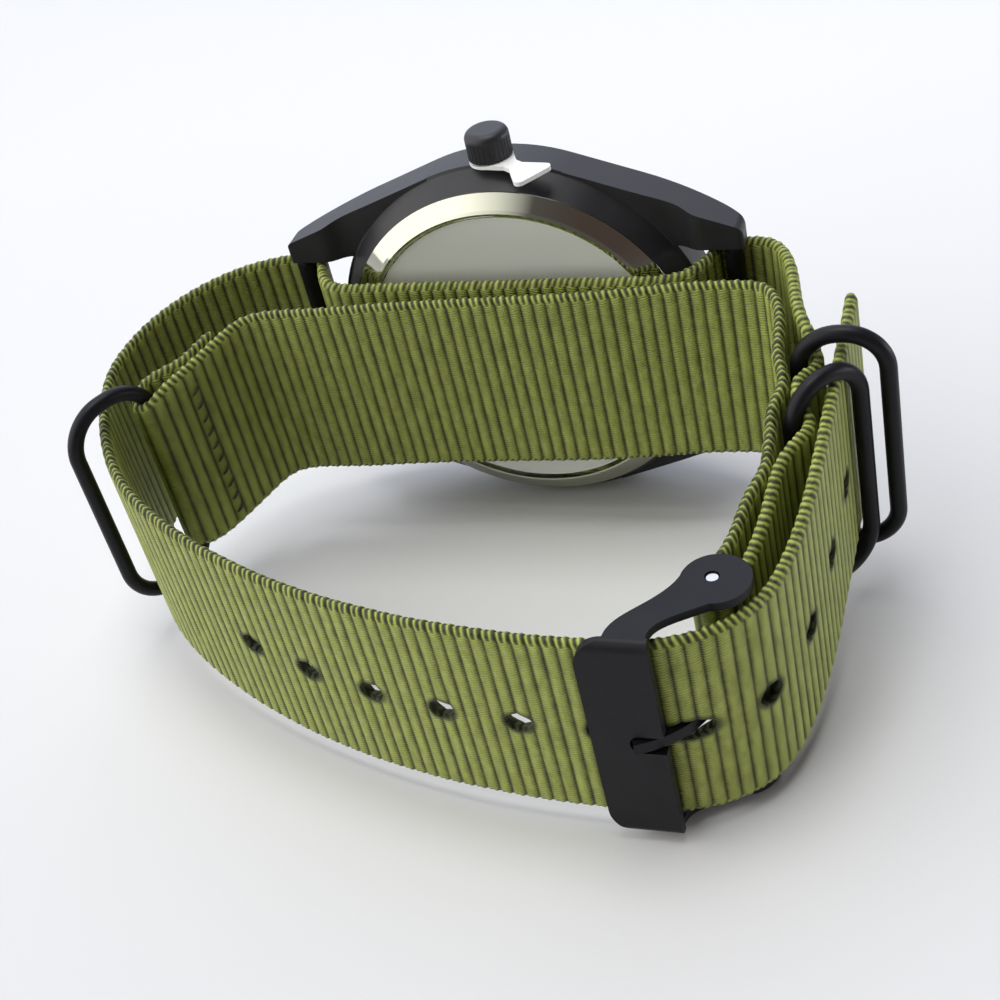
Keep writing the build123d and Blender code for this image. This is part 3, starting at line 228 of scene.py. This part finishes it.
def webbing_material():
    """Ribbed webbing: twisted cords whose narrow valleys carry painted shade, chevron knots along both edges, dark
    melted holes.
    """
    mat, tree, shader = new_material("green_webbing")
    spots = node(tree, "ShaderNodeUVMap", uv_map="along")
    split = node(tree, "ShaderNodeSeparateXYZ")
    tree.links.new(spots.outputs[0], split.inputs[0])
    along, across = split.outputs["X"], split.outputs["Y"]
    edges = node(tree, "ShaderNodeUVMap", uv_map="edge")
    split_edge = node(tree, "ShaderNodeSeparateXYZ")
    tree.links.new(edges.outputs[0], split_edge.inputs[0])
    round_edge, burnt = split_edge.outputs["X"], split_edge.outputs["Y"]
    cords = math_node(tree, "FRACT", math_node(tree, "MULTIPLY_ADD", along, 1 / RIB, 0.5))
    phase = math_node(tree, "SUBTRACT", cords, 0.5)
    steep = math_node(tree, "POWER", math_node(tree, "ABSOLUTE", math_node(tree, "MULTIPLY", phase, 2.0)), 3.2)
    # painted shade: this mask is 1 on a cord's crest and falls to 0 in the narrow valley between cords, which the
    # ramp below makes near black
    crest_and_painted_valley_shade = math_node(tree, "SUBTRACT", 1.0, steep)
    streak = node(tree, "ShaderNodeTexNoise")
    streak.inputs["Scale"].default_value = 1.0
    streak.inputs["Detail"].default_value = 4.0
    stretched = node(tree, "ShaderNodeMapping")
    stretched.inputs["Scale"].default_value = (1.6, 0.35, 1.0)
    tree.links.new(spots.outputs[0], stretched.inputs[0])
    tree.links.new(stretched.outputs[0], streak.inputs["Vector"])
    wobble = noise(tree, 1500.0, 3.0)
    turns = math_node(tree, "ADD", math_node(tree, "MULTIPLY", across, 1 / YARN),
                      math_node(tree, "MULTIPLY", phase, 1.1))
    turns = math_node(tree, "MULTIPLY_ADD", wobble, 0.8, turns)
    twist = math_node(tree, "SINE", math_node(tree, "MULTIPLY", turns, TURN))
    yarn = math_node(tree, "MULTIPLY_ADD", twist, 0.5, 0.5)
    chevron = math_node(tree, "ADD", math_node(tree, "MULTIPLY", along, TURN / KNOT),
                        math_node(tree, "MULTIPLY", math_node(tree, "ABSOLUTE", round_edge), 2.8))
    braid = math_node(tree, "SINE", math_node(tree, "MULTIPLY_ADD", wobble, 1.6, chevron))
    knot = math_node(tree, "MULTIPLY_ADD", braid, 0.5, 0.5)
    flat_tone = math_node(tree, "ADD", math_node(tree, "MULTIPLY", crest_and_painted_valley_shade, 0.66),
                          math_node(tree, "MULTIPLY", yarn, 0.17))
    edge_tone = math_node(tree, "MULTIPLY_ADD", knot, 0.74, 0.02)
    to_rim = math_node(tree, "POWER", math_node(tree, "ABSOLUTE", round_edge), 6.0)
    on_edge = math_node(tree, "SUBTRACT", 1.0, to_rim)
    tone = node(tree, "ShaderNodeMix", data_type="FLOAT")
    tree.links.new(on_edge, tone.inputs["Factor"])
    tree.links.new(flat_tone, tone.inputs["A"])
    tree.links.new(edge_tone, tone.inputs["B"])
    shade = math_node(tree, "ADD", tone.outputs["Result"],
                      math_node(tree, "MULTIPLY_ADD", streak.outputs["Fac"], 0.55, -0.20))
    shade = math_node(tree, "ADD", shade, math_node(tree, "MULTIPLY_ADD", wobble, 0.30, -0.15))
    shade = math_node(tree, "MULTIPLY", shade, math_node(tree, "MULTIPLY_ADD", burnt, -0.75, 1.0))
    # painted shade: the darkest stop colours the valleys between cords, where shade falls
    colour = ramp(tree, shade, [(0.05, (0.010, 0.014, 0.004)), (0.35, (0.064, 0.076, 0.012)),
                                (0.65, (0.215, 0.246, 0.042)), (1.0, (0.41, 0.455, 0.105))])
    tree.links.new(colour, shader.inputs["Base Color"])
    shader.inputs["Roughness"].default_value = 0.50
    shader.inputs["Specular IOR Level"].default_value = 0.35
    shader.inputs["Sheen Weight"].default_value = 0.10
    shader.inputs["Sheen Tint"].default_value = (0.7, 0.8, 0.4, 1)
    relief = node(tree, "ShaderNodeMix", data_type="FLOAT")
    tree.links.new(on_edge, relief.inputs["Factor"])
    tree.links.new(yarn, relief.inputs["A"])
    tree.links.new(math_node(tree, "MULTIPLY", knot, 2.2), relief.inputs["B"])
    first = bump(tree, shader, relief.outputs["Result"], 0.8, 0.00007)
    bump(tree, shader, noise(tree, 15000.0, 2.0), 0.35, 0.00003, first)
    return mat


def thread_material():
    """Twisted sewing thread."""
    mat, tree, shader = new_material("thread")
    colour = ramp(tree, noise(tree, 2600.0, 3.0), [(0.3, (0.014, 0.018, 0.008)), (0.7, (0.05, 0.06, 0.026))])
    tree.links.new(colour, shader.inputs["Base Color"])
    shader.inputs["Roughness"].default_value = 0.45
    bump(tree, shader, noise(tree, 9000.0, 2.0, stretch=(1.0, 1.0, 3.0)), 0.6, 0.00004)
    return mat


def floor_material():
    """Matt white paper with painted shade: a little darker towards the viewer and to the right, where less light
    falls.
    """
    mat, tree, shader = new_material("pale_floor")
    coords = node(tree, "ShaderNodeTexCoord")
    split = node(tree, "ShaderNodeSeparateXYZ")
    tree.links.new(coords.outputs["Object"], split.inputs[0])
    # painted shade: a colour gradient darker towards the viewer and to the right stands in for the light falling
    # off there; the noise adds random mottling
    painted_falloff_and_mottle = math_node(tree, "ADD", math_node(tree, "MULTIPLY", split.outputs["Y"], 4.2),
                      math_node(tree, "MULTIPLY", split.outputs["X"], -0.5))
    painted_falloff_and_mottle = math_node(tree, "MULTIPLY_ADD", noise(tree, 14.0, 2.0), 0.16, math_node(tree, "ADD", painted_falloff_and_mottle, 0.42))
    colour = ramp(tree, painted_falloff_and_mottle, [(0.0, (0.60, 0.60, 0.605)), (0.5, (0.665, 0.665, 0.665)),
                                (1.0, (0.70, 0.705, 0.71))])
    tree.links.new(colour, shader.inputs["Base Color"])
    shader.inputs["Roughness"].default_value = 0.8
    shader.inputs["Specular IOR Level"].default_value = 0.15
    bump(tree, shader, noise(tree, 2500.0, 4.0), 0.12, 0.00006)
    return mat


green_webbing = webbing_material()
material_of_node = {"buckle_pin": steel}
materials = {
    "black_case": black_case, "black_hardware": black_hardware, "white_plastic": white_plastic,
    "seal": rubber, "steel": steel, "brass": brass, "copper_wire": copper, "board": board, "pale_hands": hands,
    "polished_steel": back_material(), "black_dial": dial_material(), "crystal": crystal_material(),
    "green_webbing": green_webbing,
}
slot_of = {entry["node"]: entry["material_slot"] for entry in frame["record"]["subparts"]}
for name, obj in frame["nodes"].items():
    if obj.type != "MESH":
        continue
    mat = material_of_node.get(name, materials[slot_of[name]])
    if obj.material_slots:
        for entry in obj.material_slots:
            entry.material = mat
    else:
        obj.data.materials.append(mat)

# ---------- the middle line of the strap, in millimetres from the middle of the case ----------

def smooth(points, first, last, step=0.1):
    """Cubic curve through the places, with a set direction at each end."""
    pts = np.array(points, float)
    knots = np.concatenate([[0], np.cumsum(np.linalg.norm(np.diff(pts, axis=0), axis=1))])
    count = len(pts)
    gaps = np.diff(knots)
    system = np.zeros((count, count))
    right = np.zeros((count, 2))
    system[0, 0] = 1
    right[0] = np.array(first) / np.linalg.norm(first)
    system[-1, -1] = 1
    right[-1] = np.array(last) / np.linalg.norm(last)
    for i in range(1, count - 1):
        system[i, i - 1] = gaps[i]
        system[i, i] = 2 * (gaps[i - 1] + gaps[i])
        system[i, i + 1] = gaps[i - 1]
        right[i] = 3 * (gaps[i] * (pts[i] - pts[i - 1]) / gaps[i - 1]
                        + gaps[i - 1] * (pts[i + 1] - pts[i]) / gaps[i])
    slopes = np.linalg.solve(system, right)
    line = []
    for i in range(count - 1):
        steps = max(2, int(gaps[i] / step))
        for t in np.arange(steps) / steps:
            h = gaps[i]
            line.append(pts[i] * (1 + 2 * t) * (1 - t) ** 2 + slopes[i] * h * t * (1 - t) ** 2
                        + pts[i + 1] * t * t * (3 - 2 * t) + slopes[i + 1] * h * t * t * (t - 1))
    line.append(pts[-1])
    return np.array(line)


def heading(angle):
    return (math.sin(math.radians(angle)), -math.cos(math.radians(angle)))


def arc(middle, radius, start, turn):
    angles = np.radians(start + turn * np.linspace(0, 1, max(8, int(abs(turn) / 3))))
    return np.stack([middle[0] + radius * np.cos(angles), middle[1] + radius * np.sin(angles)], axis=1)


UNIT = 20.0
outer_run_shares = [(1.73, -0.50), (1.715, -0.89), (1.69, -1.35), (1.62, -1.90), (1.515, -2.16),
                    (1.245, -2.365), (0.90, -2.405), (0.42, -2.38), (-0.79, -2.07), (-1.24, -1.855),
                    (-1.62, -1.59), (-1.89, -1.19), (-1.955, -0.85), (-1.82, -0.525), (-1.45, -0.14)]
layer_run_shares = [(1.29, -0.05), (1.40, -0.19), (1.49, -0.52), (1.545, -0.66), (1.61, -0.86), (1.55, -0.99),
                    (1.575, -1.08), (1.62, -1.17), (1.59, -1.29), (1.54, -1.40), (1.51, -1.63)]
inner_run_shares = [(1.385, -1.78), (1.425, -1.58)]
flap_run_shares = [(1.465, -1.24), (1.458, -1.15), (1.485, -1.00), (1.447, -0.84), (1.42, -0.60),
                   (1.33, -0.425), (1.17, -0.395), (0.46, -0.455), (-0.32, -0.485), (-1.09, -0.53),
                   (-1.33, -0.58), (-1.42, -0.695), (-1.52, -0.86)]
return_run_shares = [(-1.575, -0.83), (-1.475, -0.665)]


def spots(shares):
    return [(x * UNIT, y * UNIT) for x, y in shares]


BAR_X, BAR_Y = 22.7, -2.3
BAR_WRAP = 1.65  # middle line round a spring bar
PIN_WRAP = 1.45  # middle line round the buckle's pin and the flap's ring
bar_left = (-BAR_X, BAR_Y)
bar_right = (BAR_X, BAR_Y)
pin = (1.355 * UNIT, -2.08 * UNIT)
fold_bar = (-1.715 * UNIT, -1.015 * UNIT)
joint = (1.472 * UNIT, -1.39 * UNIT)
tongue_hole = (1.245 * UNIT, -2.365 * UNIT)

left_arc = arc(bar_left, BAR_WRAP, 95, -67)
right_arc = arc(bar_right, BAR_WRAP, 152, -67)
pin_arc = arc(pin, PIN_WRAP, -10, -189)
fold_arc = arc(fold_bar, PIN_WRAP, -40, -195)
outer_run = smooth(spots(outer_run_shares) + [tuple(left_arc[0])], (0, -1), heading(95))
main_line = [
    outer_run,
    left_arc,
    smooth([tuple(left_arc[-1]), (-18.6, -6.2), (-14, -7)], heading(28), (1, 0)),
    np.array([(-14, -7), (14, -7)], float),
    smooth([(14, -7), (18.6, -6.2), tuple(right_arc[0])], (1, 0), heading(152)),
    right_arc,
    smooth([tuple(right_arc[-1])] + spots(layer_run_shares) + [tuple(pin_arc[0])], heading(85), heading(-10)),
    pin_arc,
    smooth([tuple(pin_arc[-1])] + spots(inner_run_shares) + [joint], heading(-199), (-0.07, 1)),
]
flap_line = [
    smooth([joint] + spots(flap_run_shares) + [tuple(fold_arc[0])], (-0.07, 1), heading(-40)),
    fold_arc,
    smooth([tuple(fold_arc[-1])] + spots(return_run_shares), heading(-235), (1, 1)),
]


def resample(pieces, step):
    line = [pieces[0][0]]
    for piece in pieces:
        for point in piece:
            if np.linalg.norm(point - line[-1]) > 1e-6:
                line.append(point)
    line = np.array(line)
    run = np.concatenate([[0], np.cumsum(np.linalg.norm(np.diff(line, axis=0), axis=1))])
    count = int(round(run[-1] / step))
    at = np.linspace(0, run[-1], count + 1)
    return np.stack([np.interp(at, run, line[:, 0]), np.interp(at, run, line[:, 1])], axis=1), at


def run_to(line, at, point):
    """Length along the line at the place nearest to the point."""
    return at[np.argmin(np.linalg.norm(line - np.array(point), axis=1))]


SINK_START = 8.0  # distance in front of the case's middle where the strap starts to sink
SINK_LONG = 32.0  # length of the slope
SINK_SLOPE = 0.25
SINK_BEND = 4.68  # half length of each soft bend


def sink(y):
    """Height of the middle of the strap, with the soft bends that the CAD strap has."""
    def bend(w):
        return np.where(w < -SINK_BEND, 0.0, np.where(w < SINK_BEND, (w + SINK_BEND) ** 2 / (4 * SINK_BEND), w))
    u = -np.asarray(y) - SINK_START
    return -SINK_SLOPE * (bend(u) - bend(u - SINK_LONG))


HALF = 10.05  # half the strap's width
THICK = 0.6  # half its thickness
EDGE = 9.35  # height at which the rounded edge starts
STEP = RIB / 10


def section_rows():
    """Rows round the strap's section: height, share of the thickness, and place on the round edge, -1 to 1."""
    near = np.arange(-1.8, 1.81, 0.2)
    far = np.array([2.4, 3.4, 4.6, 5.8, 7.0, 8.0, 8.8, EDGE])
    face = np.concatenate([-far[::-1], near, far])
    turn = np.radians([60, 30, 0, -30, -60])
    rows = [(level, 1.0, -1.0) for level in face]
    rows += [(EDGE + (HALF - EDGE) * math.cos(t), math.sin(t), -t / (math.pi / 2)) for t in turn]
    rows += [(level, -1.0, 1.0) for level in face[::-1]]
    rows += [(-EDGE - (HALF - EDGE) * math.cos(t), math.sin(t), -t / (math.pi / 2)) for t in turn[::-1]]
    return np.array(rows)


def webbing(name, pieces, holes, narrow):
    """Ribbed strap along a line in plan. Each hole is its place on the run, its half length and its half height."""
    line, at = resample(pieces, STEP)
    tangent = np.gradient(line, axis=0)
    tangent = np.stack([np.convolve(np.pad(tangent[:, k], 3, mode="edge"), np.ones(7) / 7, mode="valid")
                        for k in (0, 1)], axis=1)
    tangent /= np.linalg.norm(tangent, axis=1)[:, None]
    rows = section_rows()
    count, total = len(at), len(rows)
    run = np.repeat(at[:, None], total, axis=1)
    level = np.repeat(rows[None, :, 0], count, axis=0)
    side = rows[None, :, 1]
    round_edge = rows[None, :, 2]
    flat = np.abs(rows[:, 2]) == 1.0
    burnt = np.zeros((count, total))
    kept = np.ones((count - 1, total), bool)
    after = (np.arange(total) + 1) % total
    for place_on_run, half_long, half_high in holes:
        mid_run = 0.5 * (run[:-1] + run[1:])
        mid_level = 0.5 * (level[:-1] + level[:-1][:, after])
        kept &= ((mid_run - place_on_run) / half_long) ** 2 + (mid_level / half_high) ** 2 >= 1
    cut_corner = np.zeros((count, total), bool)
    kept_corner = np.zeros((count, total), bool)
    for corner, cells in ((cut_corner, ~kept), (kept_corner, kept)):
        corner[:-1] |= cells
        corner[1:] |= cells
        corner[:-1, after] |= cells
        corner[1:, after] |= cells
    rim = cut_corner & kept_corner & flat[None, :]
    for place_on_run, half_long, half_high in holes:
        reach = np.sqrt(((run - place_on_run) / half_long) ** 2 + (level / half_high) ** 2)
        own = rim & (reach < 1.6)
        burnt = np.maximum(burnt, np.clip(1.45 - reach, 0, 0.45) / 0.45 * flat[None, :])
        run = np.where(own, place_on_run + (run - place_on_run) / np.maximum(reach, 0.2), run)
        level = np.where(own, level / np.maximum(reach, 0.2), level)
    phase = np.abs(np.mod(run / RIB + 0.5, 1.0) - 0.5) * 2
    cord = 1 - phase ** 2.4
    knot = np.cos(TURN * run / KNOT + 2.8 * np.abs(round_edge))
    on_edge = 1 - round_edge ** 4
    knots = np.arange(0, at[-1] + 4, 4.0)
    wander = np.interp(at, knots, np.random.default_rng(7).normal(0, 0.04, len(knots)))
    wide = np.full(count, 1.0)
    for place_on_run, amount, width in narrow:
        wide -= amount / HALF * np.exp(-((at - place_on_run) / width) ** 2)
    thick = THICK * side * (0.74 + 0.26 * cord * (1 - 0.4 * on_edge) + 0.07 * knot * on_edge)
    high = (level * wide[:, None] + wander[:, None]
            + np.sign(level) * on_edge * (0.10 * cord - 0.10 + 0.05 * knot))
    middle_x = np.interp(run, at, line[:, 0])
    middle_y = np.interp(run, at, line[:, 1])
    x = middle_x + np.interp(run, at, tangent[:, 1]) * thick
    y = middle_y - np.interp(run, at, tangent[:, 0]) * thick
    z = sink(middle_y) + high
    vertex = np.stack([x.ravel(), y.ravel() + CASE_Y, z.ravel() + CASE_Z], axis=1) * MM
    other = {j: k for j in range(total) for k in range(total)
             if flat[j] and flat[k] and rows[j, 1] > 0 > rows[k, 1] and abs(rows[j, 0] - rows[k, 0]) < 1e-6}
    cells = np.argwhere(kept)
    faces = [(i * total + j, i * total + after[j], (i + 1) * total + after[j], (i + 1) * total + j)
             for i, j in cells]
    for i, j in np.argwhere(~kept):
        if rows[j, 1] < 0:
            continue
        k = after[j]
        for start, end, ahead in (((i, j), (i, k), (i - 1, j)), ((i + 1, k), (i + 1, j), (i + 1, j)),
                                  ((i + 1, j), (i, j), (i, j - 1)), ((i, k), (i + 1, k), (i, k))):
            if kept[ahead[0], ahead[1] % total]:
                faces.append((start[0] * total + start[1], end[0] * total + end[1],
                              end[0] * total + other[end[1]], start[0] * total + other[start[1]]))
    faces.append(tuple(range(total)))
    faces.append(tuple((count - 1) * total + j for j in reversed(range(total))))
    mesh = bpy.data.meshes.new(name)
    mesh.from_pydata(vertex.tolist(), [], [tuple(int(v) for v in face) for face in faces])
    corners = np.zeros(len(mesh.loops), dtype=np.int32)
    mesh.loops.foreach_get("vertex_index", corners)
    whole_edge = np.repeat(round_edge, count, axis=0)
    for layer_name, first, second in (("along", run, level), ("edge", whole_edge, burnt)):
        layer = mesh.uv_layers.new(name=layer_name)
        pair = np.stack([first.ravel()[corners], second.ravel()[corners]], axis=1)
        layer.data.foreach_set("uv", pair.astype(np.float32).ravel())
    mesh.polygons.foreach_set("use_smooth", np.ones(len(mesh.polygons), dtype=bool))
    mesh.validate()
    mesh.update()
    obj = bpy.data.objects.new(name, mesh)
    bpy.context.collection.objects.link(obj)
    mesh.materials.append(green_webbing)
    return obj


SECTIONS = 7
SIDES = 8


def thread(name, pieces, stitches, radius=0.13):
    """Short sewn stitches, each from and to a place on the run and a height, on one side of the strap."""
    line, at = resample(pieces, STEP)
    tangent = np.gradient(line, axis=0)
    tangent /= np.linalg.norm(tangent, axis=1)[:, None]

    def spot_at(run, level, out):
        x, y = np.interp(run, at, line[:, 0]), np.interp(run, at, line[:, 1])
        tx, ty = np.interp(run, at, tangent[:, 0]), np.interp(run, at, tangent[:, 1])
        return np.array(place(x + ty * out, y - tx * out, float(sink(y)) + level))

    vertices, faces = [], []
    for (run_a, level_a), (run_b, level_b), side in stitches:
        start = len(vertices)
        for share in np.linspace(0, 1, SECTIONS):
            run, level = run_a + (run_b - run_a) * share, level_a + (level_b - level_a) * share
            out = side * (THICK + 0.02 + 0.16 * math.sin(math.pi * share))
            middle = spot_at(run, level, out)
            ahead = spot_at(run + 0.01 * (run_b - run_a), level + 0.01 * (level_b - level_a), out) - middle
            ahead /= np.linalg.norm(ahead)
            outward = spot_at(run, level, out + side * 0.1) - middle
            outward /= np.linalg.norm(outward)
            across = np.cross(ahead, outward)
            size = radius * MM * (0.55 + 0.45 * math.sin(math.pi * share) ** 0.5)
            for angle in np.linspace(0, TURN, SIDES, endpoint=False):
                vertices.append(middle + size * (math.cos(angle) * across + math.sin(angle) * outward))
        for row in range(start, start + (SECTIONS - 1) * SIDES, SIDES):
            for j in range(SIDES):
                k = (j + 1) % SIDES
                faces.append((row + j, row + k, row + SIDES + k, row + SIDES + j))
        faces.append(tuple(start + j for j in reversed(range(SIDES))))
        faces.append(tuple(start + (SECTIONS - 1) * SIDES + j for j in range(SIDES)))
    mesh = bpy.data.meshes.new(name)
    mesh.from_pydata([tuple(v) for v in vertices], [], faces)
    mesh.polygons.foreach_set("use_smooth", np.ones(len(mesh.polygons), dtype=bool))
    obj = bpy.data.objects.new(name, mesh)
    bpy.context.collection.objects.link(obj)
    mesh.materials.append(thread_green)
    return obj


STITCH_HIGH = 8.4


def stitch_column(run, reach, rise, pitch, side):
    """A column of short slanting stitches over the height of the strap."""
    return [((run + reach, low), (run - reach, low + rise), side)
            for low in np.arange(-STITCH_HIGH, STITCH_HIGH - rise, pitch)]


main_points, main_at = resample(main_line, STEP)
tongue_run = run_to(main_points[main_at < 60], main_at[main_at < 60], tongue_hole)
HOLE_PITCH = 7.3
main_holes = [(tongue_run + k * HOLE_PITCH, 2.1 if k == 0 else 1.25, 1.05) for k in range(-4, 7)]
late = main_at > 200
late_points, late_at = main_points[late], main_at[late]
pin_low = run_to(late_points, late_at, (pin[0], pin[1] - PIN_WRAP))
upper_on_main = run_to(late_points, late_at, (1.53 * UNIT + 1.6, -0.83 * UNIT))
lower_on_main = run_to(late_points, late_at, (1.545 * UNIT + 1.5, -1.17 * UNIT))
strap_main = webbing("strap_main_webbing", main_line, main_holes + [(pin_low, 3.6, 1.5)],
                     [(upper_on_main, 0.9, 2.0), (lower_on_main, 0.7, 2.0)])
flap_points, flap_at = resample(flap_line, STEP)
fold_run = run_to(flap_points, flap_at, (fold_bar[0] - 1.1, fold_bar[1] - 0.95))
strap_flap = webbing("strap_flap_webbing", flap_line, [], [(fold_run, 1.1, 2.6)])
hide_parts("strap_main")
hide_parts("strap_flap")
thread_green = thread_material()
fold_stitches = thread("fold_stitches", flap_line, stitch_column(81.2, 0.42, 0.55, 1.7, -1))
joint_stitches = thread("joint_stitches", flap_line,
                        stitch_column(1.2, 0.4, 0.5, 1.5, -1) + stitch_column(9.2, 0.4, 0.5, 1.5, -1))
for obj in (strap_main, strap_flap, fold_stitches, joint_stitches):
    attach(obj, "watch")

# ---------- numbers on the dial ----------

dial = frame["nodes"]["dial"]
dial_front = max((dial.matrix_world @ v.co).y for v in dial.data.vertices)
NUMBER_RADIUS = 10.2 * MM
for hour in range(1, 13):
    letters = bpy.data.curves.new(f"number_{hour}", "FONT")
    letters.body = str(hour)
    letters.size = 3.4 * MM
    letters.align_x = "CENTER"
    letters.align_y = "CENTER"
    letters.extrude = 0.02 * MM
    turn = TURN * hour / 12
    number = bpy.data.objects.new(f"number_{hour}", letters)
    number.matrix_world = Matrix(((0, 1, 0, math.cos(turn) * NUMBER_RADIUS),
                                  (0, 0, 1, dial_front + 0.03 * MM),
                                  (1, 0, 0, CASE_Z * MM + math.sin(turn) * NUMBER_RADIUS),
                                  (0, 0, 0, 1)))
    bpy.context.collection.objects.link(number)
    letters.materials.append(hands)
    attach(number, "watch")

# ---------- floor, lights and camera ----------

floor_mesh = bpy.data.meshes.new("floor")
FLOOR = 3.0
floor_mesh.from_pydata([(-FLOOR, -FLOOR, 0), (FLOOR, -FLOOR, 0), (FLOOR, FLOOR, 0), (-FLOOR, FLOOR, 0)],
                       [], [(0, 1, 2, 3)])
floor = bpy.data.objects.new("floor", floor_mesh)
bpy.context.collection.objects.link(floor)
floor.data.materials.append(floor_material())

world = bpy.data.worlds.new("studio")
bpy.context.scene.world = world
world.use_nodes = True
sky = world.node_tree
sky_coords = node(sky, "ShaderNodeTexCoord")


def towards(azimuth, elevation):
    """Direction from the watch: azimuth 0 is the front of the strap and grows towards twelve o'clock."""
    a, e = math.radians(azimuth), math.radians(elevation)
    return Vector((math.sin(a) * math.cos(e), -math.cos(a) * math.cos(e), math.sin(e)))


def closeness(direction, outer, full):
    """Share of a patch of the sky round a direction: none below the first cosine, all above the second."""
    facing = node(sky, "ShaderNodeVectorMath", operation="DOT_PRODUCT")
    sky.links.new(sky_coords.outputs["Generated"], facing.inputs[0])
    facing.inputs[1].default_value = direction
    return ramp(sky, facing.outputs["Value"], [(outer, BLACK), (full, WHITE)])


def add_patch(below, share, colour):
    """The sky with a patch of another brightness laid over it."""
    mix = node(sky, "ShaderNodeMix", data_type="RGBA")
    sky.links.new(share, mix.inputs["Factor"])
    sky.links.new(below, mix.inputs["A"])
    mix.inputs["B"].default_value = (*colour, 1)
    return mix.outputs["Result"]


BLACK, WHITE = (0, 0, 0), (1, 1, 1)
height = node(sky, "ShaderNodeSeparateXYZ")
sky.links.new(sky_coords.outputs["Generated"], height.inputs[0])
dome = ramp(sky, height.outputs["Z"], [(0.0, (0.30, 0.31, 0.34)), (0.5, (0.18, 0.19, 0.21)),
                                       (1.0, (0.30, 0.31, 0.33))])
viewer_side = closeness(towards(52, 38), 0.50, 0.82)
window = closeness(towards(-68, 30), 0.58, 0.88)
behind = closeness(towards(205, 38), 0.70, 0.92)
near_floor = ramp(sky, height.outputs["Z"], [(0.08, WHITE), (0.15, BLACK)])
low_strip = math_node(sky, "MULTIPLY", closeness(towards(112, 3), 0.93, 0.975), near_floor)
light = add_patch(dome, viewer_side, (0.10, 0.075, 0.07))
light = add_patch(light, window, (2.2, 2.2, 2.15))
light = add_patch(light, behind, (1.5, 1.58, 1.85))
light = add_patch(light, low_strip, (13.0, 13.4, 14.0))
sky.links.new(light, sky.nodes["Background"].inputs[0])
sky.nodes["Background"].inputs[1].default_value = 1.0


def area_light(name, spot, aim, size, power, colour):
    """A soft rectangular lamp at a place, aimed at another."""
    data = bpy.data.lights.new(name, "AREA")
    data.shape = "RECTANGLE"
    data.size, data.size_y = size
    data.energy = power
    data.color = colour
    obj = bpy.data.objects.new(name, data)
    obj.location = spot
    obj.rotation_euler = (Vector(aim) - Vector(spot)).to_track_quat("-Z", "Y").to_euler()
    bpy.context.collection.objects.link(obj)
    return obj


area_light("top", (0.0, 0.05, 0.8), (0, 0, 0.02), (0.4, 0.4), 3.3, (0.99, 0.99, 1.0))

camera_data = bpy.data.cameras.new("camera")
camera = bpy.data.objects.new("camera", camera_data)
bpy.context.collection.objects.link(camera)
azimuth, elevation, roll, distance = 0.4431, 0.6472, -0.2568, 161.9969
FOCAL, PICTURE = 1645, 1000  # both in pixels of the photo
SENSOR = 36.0
target = Vector((0.4943, -20.0, -7.2732))
back = Vector((math.sin(azimuth) * math.cos(elevation), -math.cos(azimuth) * math.cos(elevation),
               math.sin(elevation)))
right = (-back).cross(Vector((0, 0, 1))).normalized()
up = right.cross(-back)
right_rolled = math.cos(roll) * right + math.sin(roll) * up
up_rolled = -math.sin(roll) * right + math.cos(roll) * up
eye = target + back * distance
turned = Matrix((right_rolled, up_rolled, back)).transposed().to_4x4()
camera.matrix_world = Matrix.Translation(Vector(place(*eye))) @ turned
camera_data.sensor_width = SENSOR
camera_data.lens = FOCAL / PICTURE * SENSOR
camera_data.clip_start = 0.005
camera_data.dof.use_dof = False
bpy.context.scene.camera = camera
bpy.context.scene.view_settings.view_transform = "Standard"
